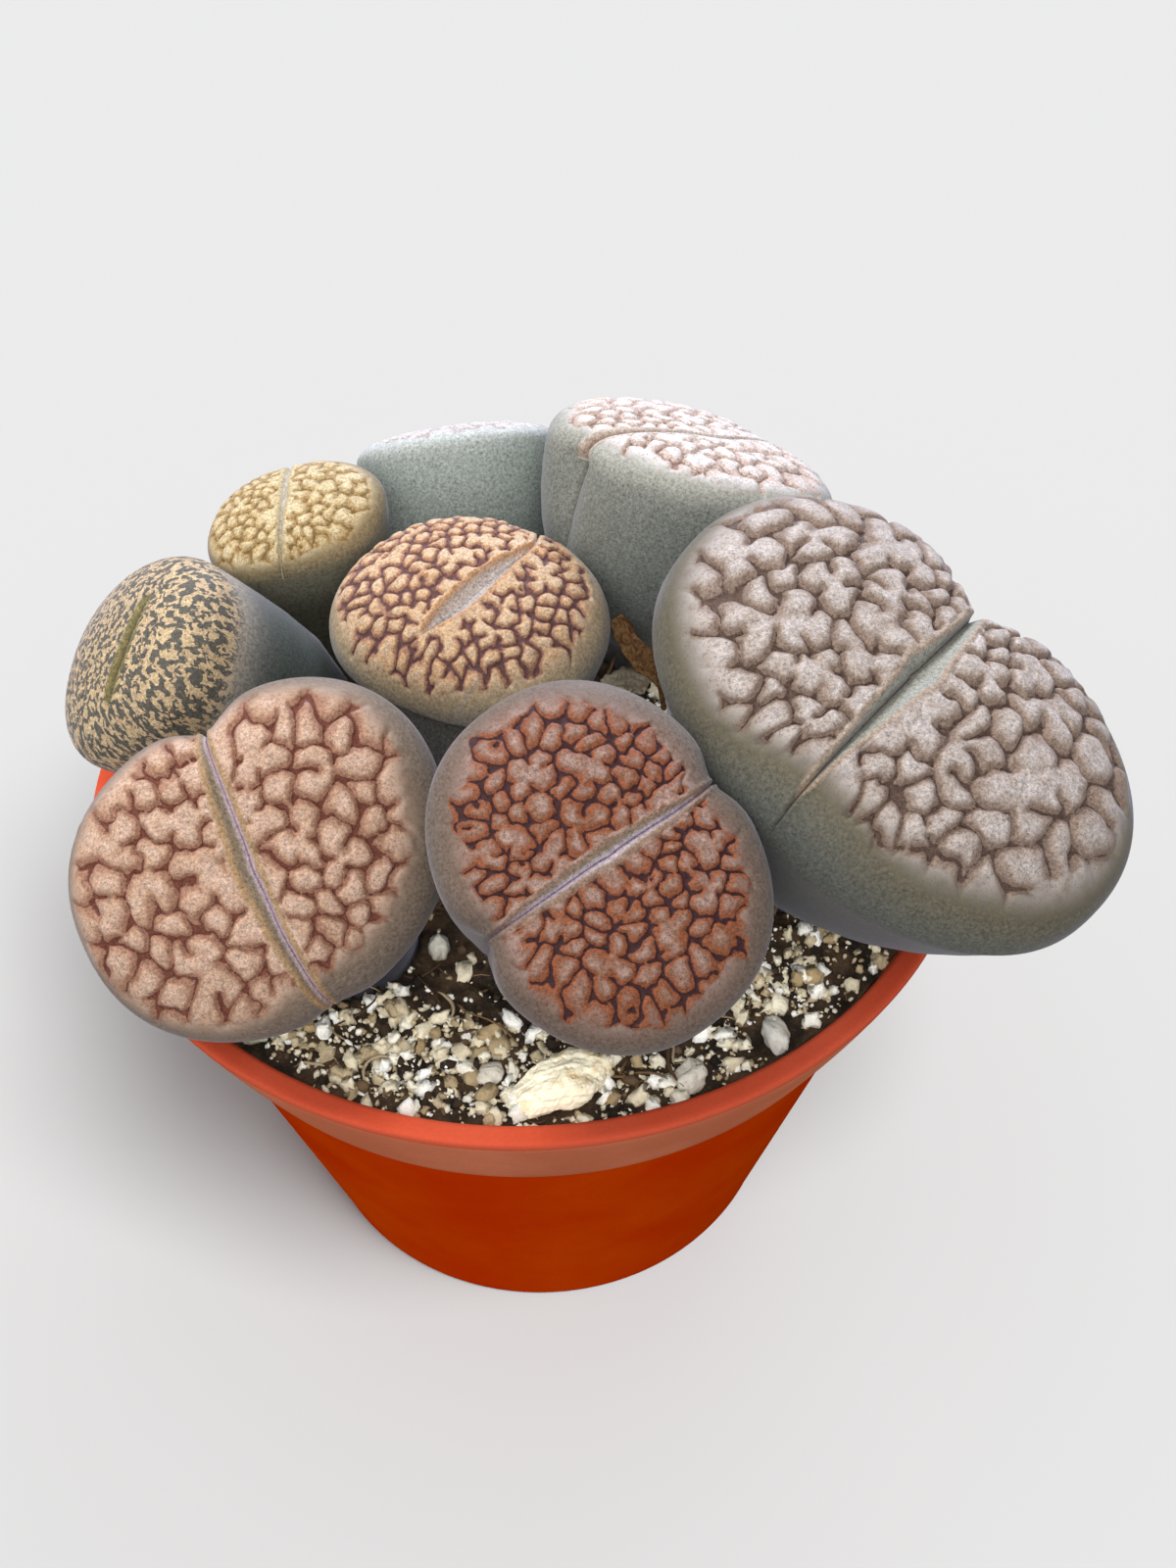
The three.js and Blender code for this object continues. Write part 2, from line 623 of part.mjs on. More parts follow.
// Every plant: where its face is, how it leans, its size, its fissure and its net of islands.
// halfAcross and notch list the two sides in the order minus, plus.
const PLANTS = [
  {
    name: 'lithops_mottled', color: 0x8d8468, roughness: 0.7,
    top: [-46.1, 2.5, 84.8], lean: 47.4, azimuth: 191.6, yaw: 77.4,
    halfAlong: 11.9, halfAcross: [13.7, 12.7], capHeight: 6.9, capPower: 2.3, swell: 1.4,
    notch: [0, 0], skew: [-0.02, -0.045], root: [-27.4, 6.0], rootRadius: 7.2,
    seed: 11, cell: 0.24, netReach: 0.8, relief: 0.24,
    fissure: { from: -0.78, to: 0.68, open: [false, false], valley: 0.35, valleyWidth: 0.14,
      slit: 0.5, slitWidth: 0.04 },
  },
  {
    name: 'lithops_yellow', color: 0xb8a673, roughness: 0.7,
    top: [-28.4, 24.2, 86.2], lean: 11.3, azimuth: 211.5, yaw: 88.4,
    halfAlong: 8.7, halfAcross: [11.4, 9.6], capHeight: 4.3, capPower: 2.4, swell: 1.15,
    notch: [0.03, 0.05], skew: [0.09, -0.065], root: [-26.8, 21.4], rootRadius: 6.4,
    seed: 22, cell: 0.24, netReach: 0.82, relief: 0.45,
    fissure: { from: -0.98, to: 0.98, open: [true, true], valley: 0.3, valleyWidth: 0.15,
      slit: 0.5, slitWidth: 0.05 },
  },
  {
    name: 'lithops_back_left', color: 0x8f9184, roughness: 0.7,
    top: [-8.8, 44.4, 81.4], lean: 41.5, azimuth: 99, yaw: -11,
    halfAlong: 12.7, halfAcross: [12.6, 12.2], capHeight: 3.4, capPower: 2.4, swell: 1.5,
    notch: [0.04, 0.04], skew: [0, 0], root: [-8.7, 32.8], rootRadius: 8.4,
    seed: 33, cell: 0.21, netReach: 0.84, relief: 0.45,
    fissure: { from: -0.98, to: 0.98, open: [true, true], valley: 0.8, valleyWidth: 0.2,
      slit: 0.9, slitWidth: 0.05 },
  },
  {
    name: 'lithops_back_right', color: 0x95958a, roughness: 0.7,
    top: [19.0, 31.9, 90.5], lean: 25.5, azimuth: 54.1, yaw: 29.1,
    halfAlong: 15.6, halfAcross: [17.8, 16.1], capHeight: 5.4, capPower: 2.6, swell: 1.4,
    notch: [0.15, 0.07], skew: [0.115, 0.05], root: [16.6, 29.0], rootRadius: 8.8,
    seed: 44, cell: 0.185, netReach: 0.86, relief: 0.6,
    fissure: { from: -1.0, to: 1.0, open: [true, true], valley: 1.7, valleyWidth: 0.2,
      slit: 1.4, slitWidth: 0.06 },
  },
  {
    name: 'lithops_centre', color: 0xb08c66, roughness: 0.7,
    top: [-6.1, 9.1, 87.3], lean: 10.1, azimuth: 263.8, yaw: 57.1,
    halfAlong: 13.7, halfAcross: [15.4, 15.5], capHeight: 8.7, capPower: 2.2, swell: 1.4,
    notch: [0, 0.09], skew: [0.01, -0.07], root: [-6.5, 4.6], rootRadius: 8.8,
    seed: 55, cell: 0.185, netReach: 0.85, relief: 0.6,
    fissure: { from: -0.6, to: 1.0, open: [false, true], valley: 1.2, valleyWidth: 0.17,
      slit: 1.0, slitWidth: 0.08 },
  },
  {
    name: 'lithops_front_left', color: 0x9c7461, roughness: 0.7,
    top: [-24.7, -31.6, 85.8], lean: 42.5, azimuth: 275.9, yaw: 115.8,
    halfAlong: 16.4, halfAcross: [19.0, 20.0], capHeight: 7.5, capPower: 2.4, swell: 1.4,
    notch: [0.06, 0.13], skew: [0.08, -0.005], root: [-21.0, -19.6], rootRadius: 8.8,
    seed: 66, cell: 0.175, netReach: 0.87, relief: 0.62,
    fissure: { from: -0.98, to: 0.98, open: [true, true], valley: 0.7, valleyWidth: 0.14,
      slit: 0.5, slitWidth: 0.04 },
  },
  {
    name: 'lithops_front', color: 0x8c5a48, roughness: 0.68,
    top: [8.28, -37.32, 93.9], lean: 27.8, azimuth: 282.1, yaw: 36.8,
    halfAlong: 14.9, halfAcross: [18.3, 18.3], capHeight: 6.3, capPower: 2.5, swell: 1.0,
    notch: [0.13, 0.12], skew: [-0.02, 0.02], root: [6.7, -22.4], rootRadius: 9.4,
    seed: 77, cell: 0.175, netReach: 0.86, relief: 0.58,
    fissure: { from: -0.98, to: 0.98, open: [true, true], valley: 0.8, valleyWidth: 0.16,
      slit: 0.6, slitWidth: 0.045 },
  },
  {
    name: 'lithops_large', color: 0x948476, roughness: 0.72,
    top: [39.22, -18.1, 97.3], lean: 22.1, azimuth: 320.4, yaw: 51.0,
    halfAlong: 20.3, halfAcross: [28.5, 26.7], capHeight: 10.9, capPower: 2.35, swell: 0.85,
    notch: [0.07, 0.15], skew: [0.035, 0.065], root: [30.1, -6.6], rootRadius: 10.8,
    seed: 88, cell: 0.16, netReach: 0.86, relief: 0.8,
    fissure: { from: -1.0, to: 1.0, open: [true, true], valley: 2.2, valleyWidth: 0.17,
      slit: 1.3, slitWidth: 0.05 },
  },
];

// Stones that lie on the soil
const STONES = [
  { name: 'stone_cream', at: [3.8, -40.4], size: [10.4, 6.0, 4.6], turn: 33, bed: 60.2, seed: 3, detail: 2,
    color: 0xd8cdb4 },
  { name: 'stone_1', at: [-3.8, -39.4], size: [3.0, 2.4, 2.0], turn: 40, bed: 60.8, seed: 5, detail: 1,
    color: 0xcfccc2 },
  { name: 'stone_2', at: [-28.6, -33.6], size: [3.4, 2.8, 2.2], turn: 10, bed: 60.8, seed: 7, detail: 1,
    color: 0xb4b39c },
  { name: 'stone_3', at: [16.7, -40.2], size: [3.9, 3.2, 2.5], turn: 65, bed: 60.8, seed: 9, detail: 1,
    color: 0xb9b9b6 },
  { name: 'stone_4', at: [25.8, -35.2], size: [2.8, 4.6, 2.3], turn: 10, bed: 60.8, seed: 12, detail: 1,
    color: 0xd3d0c6 },
  { name: 'stone_5', at: [-9.7, -23.0], size: [2.5, 2.5, 3.2], turn: 0, bed: 60.8, seed: 15, detail: 1,
    color: 0xbdbcb4 },
];

// Dry remains of last year's leaves, between the bodies
const SHEATHS = [
  {
    name: 'sheath_curl', color: 0x7a5a3a, width: 3.0, thickness: 0.7, cup: 0.1, twist: 0.2, steps: 18,
    wide: [0.3, 0.7, 0.65],
    path: [[16.2, 13.0, 62.4], [16.0, 12.4, 66.4], [15.0, 11.9, 69.9], [13.3, 11.8, 72.0],
      [11.9, 12.5, 73.6], [11.1, 13.4, 75.1], [10.4, 14.1, 76.3]],
  },
  {
    name: 'sheath_scrap', color: 0xb7ab92, width: 3.4, thickness: 0.7, cup: 0.08, twist: 0.3, steps: 8,
    wide: [-0.3, 0.9, 0.3],
    path: [[9.1, 16.6, 62.3], [10.8, 17.3, 62.9], [12.5, 17.5, 63.0], [14.2, 16.9, 62.4]],
  },
];

const group = new THREE.Group();
group.name = 'potted_lithops';

function addMesh(name, geometry, color, roughness) {
  const material = new THREE.MeshStandardMaterial({ color, roughness, metalness: 0 });
  const mesh = new THREE.Mesh(geometry, material);
  mesh.name = name;
  group.add(mesh);
}

addMesh('pot', pot(), 0xa03a14, 0.55);
addMesh('soil', soil(PLANTS, STONES), 0x2e241b, 0.95);
for (const spec of PLANTS) addMesh(spec.name, lithops(spec), spec.color, spec.roughness);
for (const spec of STONES) addMesh(spec.name, stone(spec), spec.color, 0.85);
for (const spec of SHEATHS) addMesh(spec.name, strip(spec), spec.color, 0.8);

export default group;
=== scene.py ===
import math
from types import SimpleNamespace

import bpy
import numpy as np
from mathutils import Matrix, Vector


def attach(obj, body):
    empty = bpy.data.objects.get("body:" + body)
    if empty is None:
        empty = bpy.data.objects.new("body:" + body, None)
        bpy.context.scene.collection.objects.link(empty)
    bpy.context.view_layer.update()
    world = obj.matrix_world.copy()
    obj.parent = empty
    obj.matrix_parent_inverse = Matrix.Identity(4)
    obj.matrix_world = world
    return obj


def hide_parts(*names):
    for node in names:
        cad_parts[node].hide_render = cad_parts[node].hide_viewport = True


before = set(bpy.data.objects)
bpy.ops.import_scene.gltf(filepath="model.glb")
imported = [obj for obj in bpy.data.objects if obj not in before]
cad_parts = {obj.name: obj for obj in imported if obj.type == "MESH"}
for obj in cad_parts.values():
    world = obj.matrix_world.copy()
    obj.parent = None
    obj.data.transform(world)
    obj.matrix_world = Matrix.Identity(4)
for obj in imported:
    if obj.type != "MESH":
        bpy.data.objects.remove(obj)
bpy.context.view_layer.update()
MM = 0.001
ground_cover = bpy.data.collections.new("ground_cover")

# Camera, from the ellipses of the pot's rim, collar and foot
CAMERA_PLACE = (0.00674, -0.15651, 0.22754)
CAMERA_ELEVATION = math.radians(46.4)
CAMERA_ROLL = math.radians(-1.0)
CAMERA_LENS = 45.0

# Pot, in millimetres
POT_HEIGHT = 64.5
RIM_RADIUS = 50.0
RIM_INNER = 47.35
COLLAR_BOTTOM_Z = 49.4
COLLAR_BOTTOM_RADIUS = 44.1
WALL_TOP_RADIUS = 42.9
BASE_RADIUS = 30.3
WALL_THICKNESS = 1.8
FLOOR_THICKNESS = 2.2
DRAIN_COUNT = 5
DRAIN_RADIUS = 4.0
DRAIN_CIRCLE = 19.0

# Floor of the studio, in metres
FLOOR_HALF = 6.0

# Soil
SOIL_Z = 61.3
SOIL_EDGE = 46.25
HOLE_BOTTOM_Z = 55.7
HOLE_CLEARANCE = 0.42

# Plants
ROOT_BOTTOM_Z = 56.1
NECK_Z = 63.2
OUTLINE_POWER = 2.25
NOTCH_WIDTH = 0.19
# Beyond this share of the radius the islands are drawn out towards the rim
OPEN_FROM = 0.6
OPEN_RATE = 0.6
# Share of the radius within which the slope of a face is taken, and the step it is taken over
RIM_HOLD = 0.985
SLOPE_STEP = 0.01
# Rings of the wall from the face to the neck, and the root's end, in shares of the spine
WALL_STEPS = (0.03, 0.08, 0.16, 0.27, 0.41, 0.58, 0.78, 1.0)
ROOT_STEP = 1.1

# Net of islands: how many places are tried for its cells. The rest is in shares of a cell:
# spacing, reach of a border, shortest border that is dropped, softness
NET_TRIES = 5200
SITE_SPACING = 0.84
BORDER_LIMIT = 2.3
SHORT_BORDER = 0.35
NET_SOFTNESS = 0.13
# Axis, strength, size and shift of each noise that bends the net
NET_WARPS = ((0, 0.42, 0.8, 9, 0), (1, 0.42, 0.8, 0, 9), (0, 0.2, 0.3, 0, 5), (1, 0.2, 0.3, 5, 0))

# Fineness of the meshes and of the noise, and the most places whose net is worked out at once
NOISE_CELLS = 64
NET_CHUNK = 20000
POT_SIDES = 240
POT_WALL_STEPS = 24
COLLAR_STEPS = 9
DRAIN_SIDES = 48
SOIL_RINGS = 80
SOIL_SIDES = 260
THREAD_STEPS = 7
THREAD_SIDES = 4
SHEATH_STEPS = 60
SHEATH_COLUMNS = 14

# Grains and threads on the soil stay within these radii
GRAIN_RADIUS = 45.7
THREAD_RADIUS = 45.9
THREAD_COUNT = 420

# Seeds of the noise in the soil's surface and of its pale patches
SOIL_SEED = 301
CLUMP_SEED = 401


class Spec(SimpleNamespace):
    """Named facts of one piece. What a piece leaves out has the value given here."""

    kind = "cells"
    pits = 0.0
    open = (True, True)
    fold = (0, 0)
    cleft = (0.0, 1.0)
    fine = 3
    clumped = True


# Every plant: place of the face, lean, size, fissure, net of islands and colours.
# Pairs list the two sides or ends in the order minus, plus. The eight values of reach tell
# how far the pattern spreads at bearings 45 degrees apart. The fissure is given by knots
# along it: place, sideways offset and half width on either side, in millimetres.
# In each plant's colours, low is painted shade at the foot of the wall, and the colour at the islands' rims
# is their own colour with painted shade on the slopes.
PLANTS = [
    Spec(
        name="lithops_mottled", slot="skin_mottled", grid=100,
        top=(-46.1, 2.5, 84.8), lean=47.4, azimuth=191.6, yaw=77.4,
        half_along=11.9, half_across=(13.7, 12.7), cap=6.9, cap_power=2.3, swell=1.4,
        notch=(0, 0), skew=(-0.02, -0.045), root=(-27.4, 6.0), root_radius=7.2, seed=11,
        kind="mottle", cell=0.72, reach=(1.0, 1.1, 1.2, 1.2, 1.25, 1.2, 1.15, 1.05),
        relief=0.0, channel=0.1, soft=0.2,
        slit=Spec(
            at=(-0.62, -0.5, -0.2, 0.1, 0.27), off=(-1.2, -3.0, -5.2, -7.2, -8.2),
            plus=(0.05, 0.3, 0.5, 0.4, 0.05), minus=(0.05, 0.3, 0.5, 0.4, 0.05),
            open=(False, False), valley=0.3, form=2.0, line=0.2, lip=0.7),
        looks=Spec(
            groove=(98, 94, 86), edge=(74, 72, 66), island=(198, 170, 138), centre=(208, 182, 144),
            margin=(188, 178, 166), wall=(142, 138, 138), low=(70, 80, 76), lip=(128, 118, 72),
            slit=(104, 94, 52), slit_plus=(104, 94, 52), near=(84, 74, 40), line=(60, 52, 30),
            second=(192, 164, 130)),
    ),
    Spec(
        name="lithops_yellow", slot="skin_yellow", grid=130,
        top=(-28.4, 24.2, 86.2), lean=11.3, azimuth=211.5, yaw=88.4,
        half_along=8.7, half_across=(11.4, 9.6), cap=4.3, cap_power=2.4, swell=1.15,
        notch=(0.03, 0.05), skew=(0.09, -0.065), root=(-26.8, 21.4), root_radius=6.4, seed=22,
        cell=1.4, reach=(0.8, 0.86, 0.86, 0.84, 0.82, 0.82, 0.8, 0.76),
        relief=0.28, channel=0.06, soft=0.26, join=0.62, most=4, pits=0.03,
        slit=Spec(
            at=(-1.0, -0.7, 0.0, 1.0), off=(0.0, -0.6, -0.5, 0.0),
            plus=(0.1, 0.3, 0.45, 0.5), minus=(0.1, 0.3, 0.45, 0.5),
            valley=0.35, form=2.0, line=0.3, lip=0.5),
        looks=Spec(
            groove=(138, 110, 66), edge=(172, 142, 94), island=(208, 186, 142), centre=(218, 198, 160),
            margin=(156, 138, 104), wall=(120, 118, 102), low=(66, 64, 52), lip=(190, 172, 130),
            slit=(208, 202, 190), slit_plus=(208, 202, 190), near=(206, 200, 188), line=(176, 168, 154),
            second=(198, 170, 120)),
    ),
    Spec(
        name="lithops_back_left", slot="skin_pale", grid=85,
        top=(-8.8, 44.4, 81.4), lean=41.5, azimuth=99, yaw=-11,
        half_along=12.7, half_across=(12.6, 12.2), cap=3.4, cap_power=2.4, swell=1.5,
        notch=(0.04, 0.04), skew=(0, 0), root=(-8.7, 32.8), root_radius=8.4, seed=33,
        cell=2.2, reach=(0.84, 0.84, 0.84, 0.84, 0.84, 0.84, 0.84, 0.84),
        relief=0.42, channel=0.22, soft=0.4, join=0.5, most=3, pits=0.04,
        slit=Spec(
            at=(-1.0, -0.6, 0.0, 0.6, 1.0), off=(0, 0, 0, 0, 0),
            plus=(0.4, 0.8, 1.0, 0.8, 0.4), minus=(0.4, 0.8, 1.0, 0.8, 0.4),
            valley=0.8, form=1.2, line=0.4, lip=0.8, fold=(0.7, 0.7)),
        looks=Spec(
            groove=(186, 174, 170), edge=(212, 204, 202), island=(214, 208, 208), centre=(222, 218, 220),
            margin=(196, 200, 198), wall=(158, 167, 162), low=(136, 144, 140), lip=(180, 160, 140),
            slit=(140, 142, 136), slit_plus=(140, 142, 136), near=(140, 142, 136), line=(96, 88, 80),
            second=(206, 198, 196)),
    ),
    Spec(
        name="lithops_back_right", slot="skin_pale", grid=170,
        top=(19.0, 31.9, 90.5), lean=25.5, azimuth=54.1, yaw=29.1,
        half_along=15.6, half_across=(17.8, 16.1), cap=5.4, cap_power=2.6, swell=1.4,
        notch=(0.15, 0.07), skew=(0.115, 0.05), root=(16.6, 29.0), root_radius=8.8, seed=44,
        cell=2.3, reach=(0.84, 0.84, 0.82, 0.8, 0.78, 0.8, 0.8, 0.82),
        relief=0.65, channel=0.1, soft=0.4, join=0.6, most=4, pits=0.05,
        slit=Spec(
            at=(-1.0, -0.85, -0.6, -0.3, 0.1, 0.5, 1.0), off=(0.0, -0.6, -2.2, -3.6, -4.0, -3.0, 0.0),
            plus=(0.9, 0.9, 0.6, 0.3, 0.2, 0.2, 0.3), minus=(1.1, 1.1, 0.8, 0.4, 0.3, 0.2, 0.3),
            valley=1.5, form=1.0, line=0.5, lip=0.9, fold=(1.5, 0.7)),
        looks=Spec(
            groove=(156, 128, 114), edge=(198, 176, 164), island=(224, 210, 206), centre=(236, 228, 228),
            margin=(176, 174, 164), wall=(134, 137, 130), low=(134, 138, 134), lip=(196, 180, 168),
            slit=(196, 176, 162), slit_plus=(176, 156, 140), near=(152, 126, 110), line=(92, 72, 62),
            second=(222, 202, 196)),
    ),
    Spec(
        name="lithops_centre", slot="skin_tan", grid=210,
        top=(-6.1, 9.1, 87.3), lean=10.1, azimuth=263.8, yaw=57.1,
        half_along=13.7, half_across=(15.4, 15.5), cap=8.7, cap_power=2.2, swell=1.4,
        notch=(0.0, 0.09), skew=(0.01, -0.07), root=(-6.5, 4.6), root_radius=8.8, seed=55,
        cell=1.8, reach=(0.82, 0.86, 0.84, 0.79, 0.83, 0.75, 0.77, 0.74),
        relief=0.5, channel=0.15, soft=0.26, join=0.66, most=5, pits=0.05,
        slit=Spec(
            at=(-0.5, -0.42, -0.25, -0.07, 0.06, 0.2, 0.34, 0.5, 1.0),
            off=(0.8, 0.3, -1.0, -1.6, -1.9, -2.5, -3.2, -3.4, 0.0),
            plus=(0.05, 0.5, 1.4, 1.4, 1.2, 0.9, 0.5, 0.2, 0.2),
            minus=(0.05, 0.5, 1.4, 1.4, 1.2, 0.9, 0.5, 0.2, 0.2),
            open=(False, True), valley=1.3, form=3.2, line=0.0, lip=0.6, fold=(0, 0.7)),
        looks=Spec(
            groove=(110, 76, 74), edge=(166, 120, 98), island=(212, 172, 132), centre=(214, 184, 154),
            margin=(190, 168, 136), wall=(148, 146, 140), low=(96, 94, 90), lip=(190, 142, 100),
            slit=(196, 184, 180), slit_plus=(190, 176, 168), near=(200, 190, 186), line=(180, 168, 164),
            second=(206, 162, 118)),
    ),
    Spec(
        name="lithops_front_left", slot="skin_pink", grid=225,
        top=(-24.7, -31.6, 85.8), lean=42.5, azimuth=275.9, yaw=115.8,
        half_along=16.4, half_across=(19.0, 20.0), cap=7.5, cap_power=2.4, swell=1.4,
        notch=(0.06, 0.13), skew=(0.08, -0.005), root=(-21.0, -19.6), root_radius=8.8, seed=66,
        cell=2.65, reach=(0.86, 0.88, 0.88, 0.82, 0.64, 0.67, 0.7, 0.82),
        relief=0.8, channel=0.08, soft=0.5, join=0.8, most=5, pits=0.02,
        slit=Spec(
            at=(-1.0, -0.7, -0.35, 0.0, 0.4, 0.8, 1.0), off=(0.0, 1.0, 1.5, 1.1, 0.6, 0.3, 0.0),
            plus=(0.3, 0.9, 1.1, 1.4, 1.5, 0.8, 0.4), minus=(0.2, 0.4, 0.5, 0.5, 0.5, 0.3, 0.3),
            valley=0.35, form=2.5, line=0.3, lip=0.75, fold=(0.5, 0.8)),
        looks=Spec(
            groove=(116, 66, 52), edge=(160, 116, 94), island=(194, 156, 132), centre=(206, 174, 154),
            margin=(136, 118, 102), wall=(116, 108, 100), low=(60, 56, 54), lip=(168, 136, 96),
            slit=(192, 178, 182), slit_plus=(134, 118, 98), near=(194, 178, 184), line=(128, 92, 110),
            second=(188, 150, 124)),
    ),
    Spec(
        name="lithops_front", slot="skin_red", grid=235,
        top=(8.28, -37.32, 93.9), lean=27.8, azimuth=282.1, yaw=36.8,
        half_along=14.9, half_across=(18.3, 18.3), cap=6.3, cap_power=2.5, swell=1.0,
        notch=(0.13, 0.12), skew=(-0.02, 0.02), root=(6.7, -22.4), root_radius=9.4, seed=77,
        cell=1.9, reach=(0.64, 0.7, 0.8, 0.74, 0.76, 0.82, 0.8, 0.71),
        relief=0.42, channel=0.11, soft=0.4, join=0.66, most=4, pits=0.08,
        slit=Spec(
            at=(-1.0, -0.8, -0.6, -0.35, -0.05, 0.2, 0.45, 0.7, 0.9, 1.0),
            off=(0.0, -0.3, -0.6, -0.7, -0.7, -0.8, -1.0, -0.7, -0.2, 0.0),
            plus=(0.1, 0.15, 0.4, 0.7, 0.9, 0.8, 0.5, 0.2, 0.1, 0.1),
            minus=(0.1, 0.15, 0.4, 0.6, 0.7, 0.75, 0.5, 0.2, 0.1, 0.1),
            valley=0.3, form=2.2, line=0.25, lip=0.7, fold=(0.7, 0.7)),
        looks=Spec(
            groove=(62, 32, 34), edge=(140, 77, 46), island=(138, 98, 77), centre=(162, 134, 124),
            margin=(118, 98, 86), wall=(118, 112, 104), low=(76, 76, 74), lip=(132, 108, 90),
            slit=(196, 180, 182), slit_plus=(140, 130, 112), near=(184, 172, 182), line=(112, 86, 110),
            second=(128, 80, 54)),
    ),
    Spec(
        name="lithops_large", slot="skin_grey", grid=255,
        top=(39.22, -18.1, 97.3), lean=22.1, azimuth=320.4, yaw=51.0,
        half_along=20.3, half_across=(28.5, 26.7), cap=10.9, cap_power=2.35, swell=0.85,
        notch=(0.03, 0.18), skew=(0.035, 0.065), root=(30.1, -6.6), root_radius=10.8, seed=88,
        cell=3.05, reach=(0.82, 0.86, 0.84, 0.82, 0.64, 0.74, 0.8, 0.77),
        relief=1.0, channel=0.09, soft=0.6, join=0.76, most=5,
        slit=Spec(
            at=(-0.97, -0.8, -0.56, -0.37, -0.2, 0.0, 0.15, 0.35, 0.6, 1.0),
            off=(0.2, 0.6, 0.7, 0.6, 0.6, 0.5, 0.4, 0.2, 0.1, 0.0),
            plus=(0.05, 0.1, 0.4, 0.8, 1.1, 1.3, 1.0, 0.6, 0.4, 0.3),
            minus=(0.05, 0.1, 0.7, 1.6, 2.3, 2.5, 2.3, 1.7, 1.0, 0.4),
            open=(False, True), valley=1.3, form=1.4, line=0.4, lip=0.9, fold=(0, 1.2), cleft=(4.0, 5.0)),
        looks=Spec(
            groove=(96, 76, 66), edge=(136, 114, 100), island=(174, 160, 150), centre=(192, 181, 177),
            margin=(108, 100, 81), wall=(102, 104, 98), low=(44, 52, 54), lip=(160, 140, 122),
            slit=(152, 152, 142), slit_plus=(150, 150, 142), near=(130, 128, 120), line=(78, 70, 62),
            second=(164, 148, 138)),
    ),
]

# Stones that lie on the soil: place, size, turn, bed, seed, fineness and colours
STONES = [
    Spec(name="stone_cream", at=(3.8, -40.4), size=(10.4, 6.0, 4.6), turn=33, bed=60.2, seed=3, fine=5,
         pale=(252, 244, 218), stain=(216, 186, 132), dark=(198, 168, 116)),
    Spec(name="stone_1", at=(-3.8, -39.4), size=(3.0, 2.4, 2.0), turn=40, bed=60.8, seed=5,
         pale=(206, 200, 188), stain=(188, 176, 154), dark=(140, 128, 108)),
    Spec(name="stone_2", at=(-28.6, -33.6), size=(3.4, 2.8, 2.2), turn=10, bed=60.8, seed=7,
         pale=(184, 184, 162), stain=(160, 160, 138), dark=(120, 120, 100)),
    Spec(name="stone_3", at=(16.7, -40.2), size=(3.9, 3.2, 2.5), turn=65, bed=60.8, seed=9,
         pale=(204, 198, 186), stain=(182, 168, 148), dark=(130, 116, 98)),
    Spec(name="stone_4", at=(25.8, -35.2), size=(2.8, 4.6, 2.3), turn=10, bed=60.8, seed=12,
         pale=(206, 204, 198), stain=(186, 180, 168), dark=(140, 132, 118)),
    Spec(name="stone_5", at=(-9.7, -23.0), size=(2.5, 2.5, 3.2), turn=0, bed=60.8, seed=15,
         pale=(200, 198, 188), stain=(182, 176, 160), dark=(136, 128, 112)),
]

# Dry sheaths between the bodies
SHEATHS = [
    Spec(
        name="sheath_curl", width=3.0, thickness=0.34, cup=0.1, twist=0.2, wide=(0.3, 0.7, 0.65),
        dark=(96, 64, 36), pale=(170, 126, 82),
        path=[(16.2, 13.0, 62.4), (16.0, 12.4, 66.4), (15.0, 11.9, 69.9), (13.3, 11.8, 72.0),
              (11.9, 12.5, 73.6), (11.1, 13.4, 75.1), (10.4, 14.1, 76.3)],
    ),
    Spec(
        name="sheath_scrap", width=3.4, thickness=0.34, cup=0.08, twist=0.3, wide=(-0.3, 0.9, 0.3),
        dark=(160, 142, 116), pale=(214, 204, 184),
        path=[(9.1, 16.6, 62.3), (10.8, 17.3, 62.9), (12.5, 17.5, 63.0), (14.2, 16.9, 62.4)],
    ),
]

# Loose grains on the soil. Flecks and grit are perlite too
GRAINS = [
    Spec(name="soil_crumbs", paint="dark", seed=51, count=620, fine=0, sizes=(0.6, 1.9), flat=(0.4, 0.5),
         rough=0.55, clumped=False, sink=0.2),
    Spec(name="soil_perlite", paint="pale", seed=52, count=1150, fine=1, sizes=(0.6, 2.3), flat=(0.4, 0.5),
         rough=0.95, sink=0.25),
    Spec(name="soil_flecks", paint="pale", seed=55, count=2400, fine=0, sizes=(0.25, 0.8), flat=(0.5, 0.5),
         rough=0.5, sink=0.2),
    Spec(name="soil_grit", paint="pale", seed=53, count=46, fine=2, sizes=(1.2, 2.6), flat=(0.5, 0.5),
         rough=0.4, sink=0.3),
]

# Sun lamps: direction, strength, angle in degrees, tint, what they light and whether they cast shadows
WHITE = (1.0, 1.0, 1.0)
WARM = (1.0, 0.995, 0.98)
SUNS = [
    ("floor_key", (-0.25, 0.433, -0.866), 6.5, 24, WHITE, "floor_only", True),
    ("floor_back", (-0.32, -0.56, -0.77), 0.45, 30, WHITE, "floor_only", True),
    ("floor_soft", (0.0, 0.0, -1.0), 1.3, 110, WHITE, "floor_only", True),
    ("key", (0.5, -0.55, -0.9), 1.85, 16, WARM, "all_but_floor", True),
    ("front", (0.1, 0.8, -0.6), 0.9, 60, WARM, "all_but_floor", True),
    ("fill", (-0.05, 0.7, -0.7), 0.8, 60, WARM, "all_but_floor", False),
    ("left", (0.9, 0.3, -0.4), 0.25, 60, (0.98, 0.99, 1.0), "all_but_floor", True),
    ("back", (-0.15, -1.0, -0.45), 2.2, 12, (0.74, 0.81, 1.0), "all_but_floor", True),
    ("soil", (0.0, 0.6, -0.8), 1.5, 60, (1.0, 0.99, 0.96), "ground_cover", False),
]


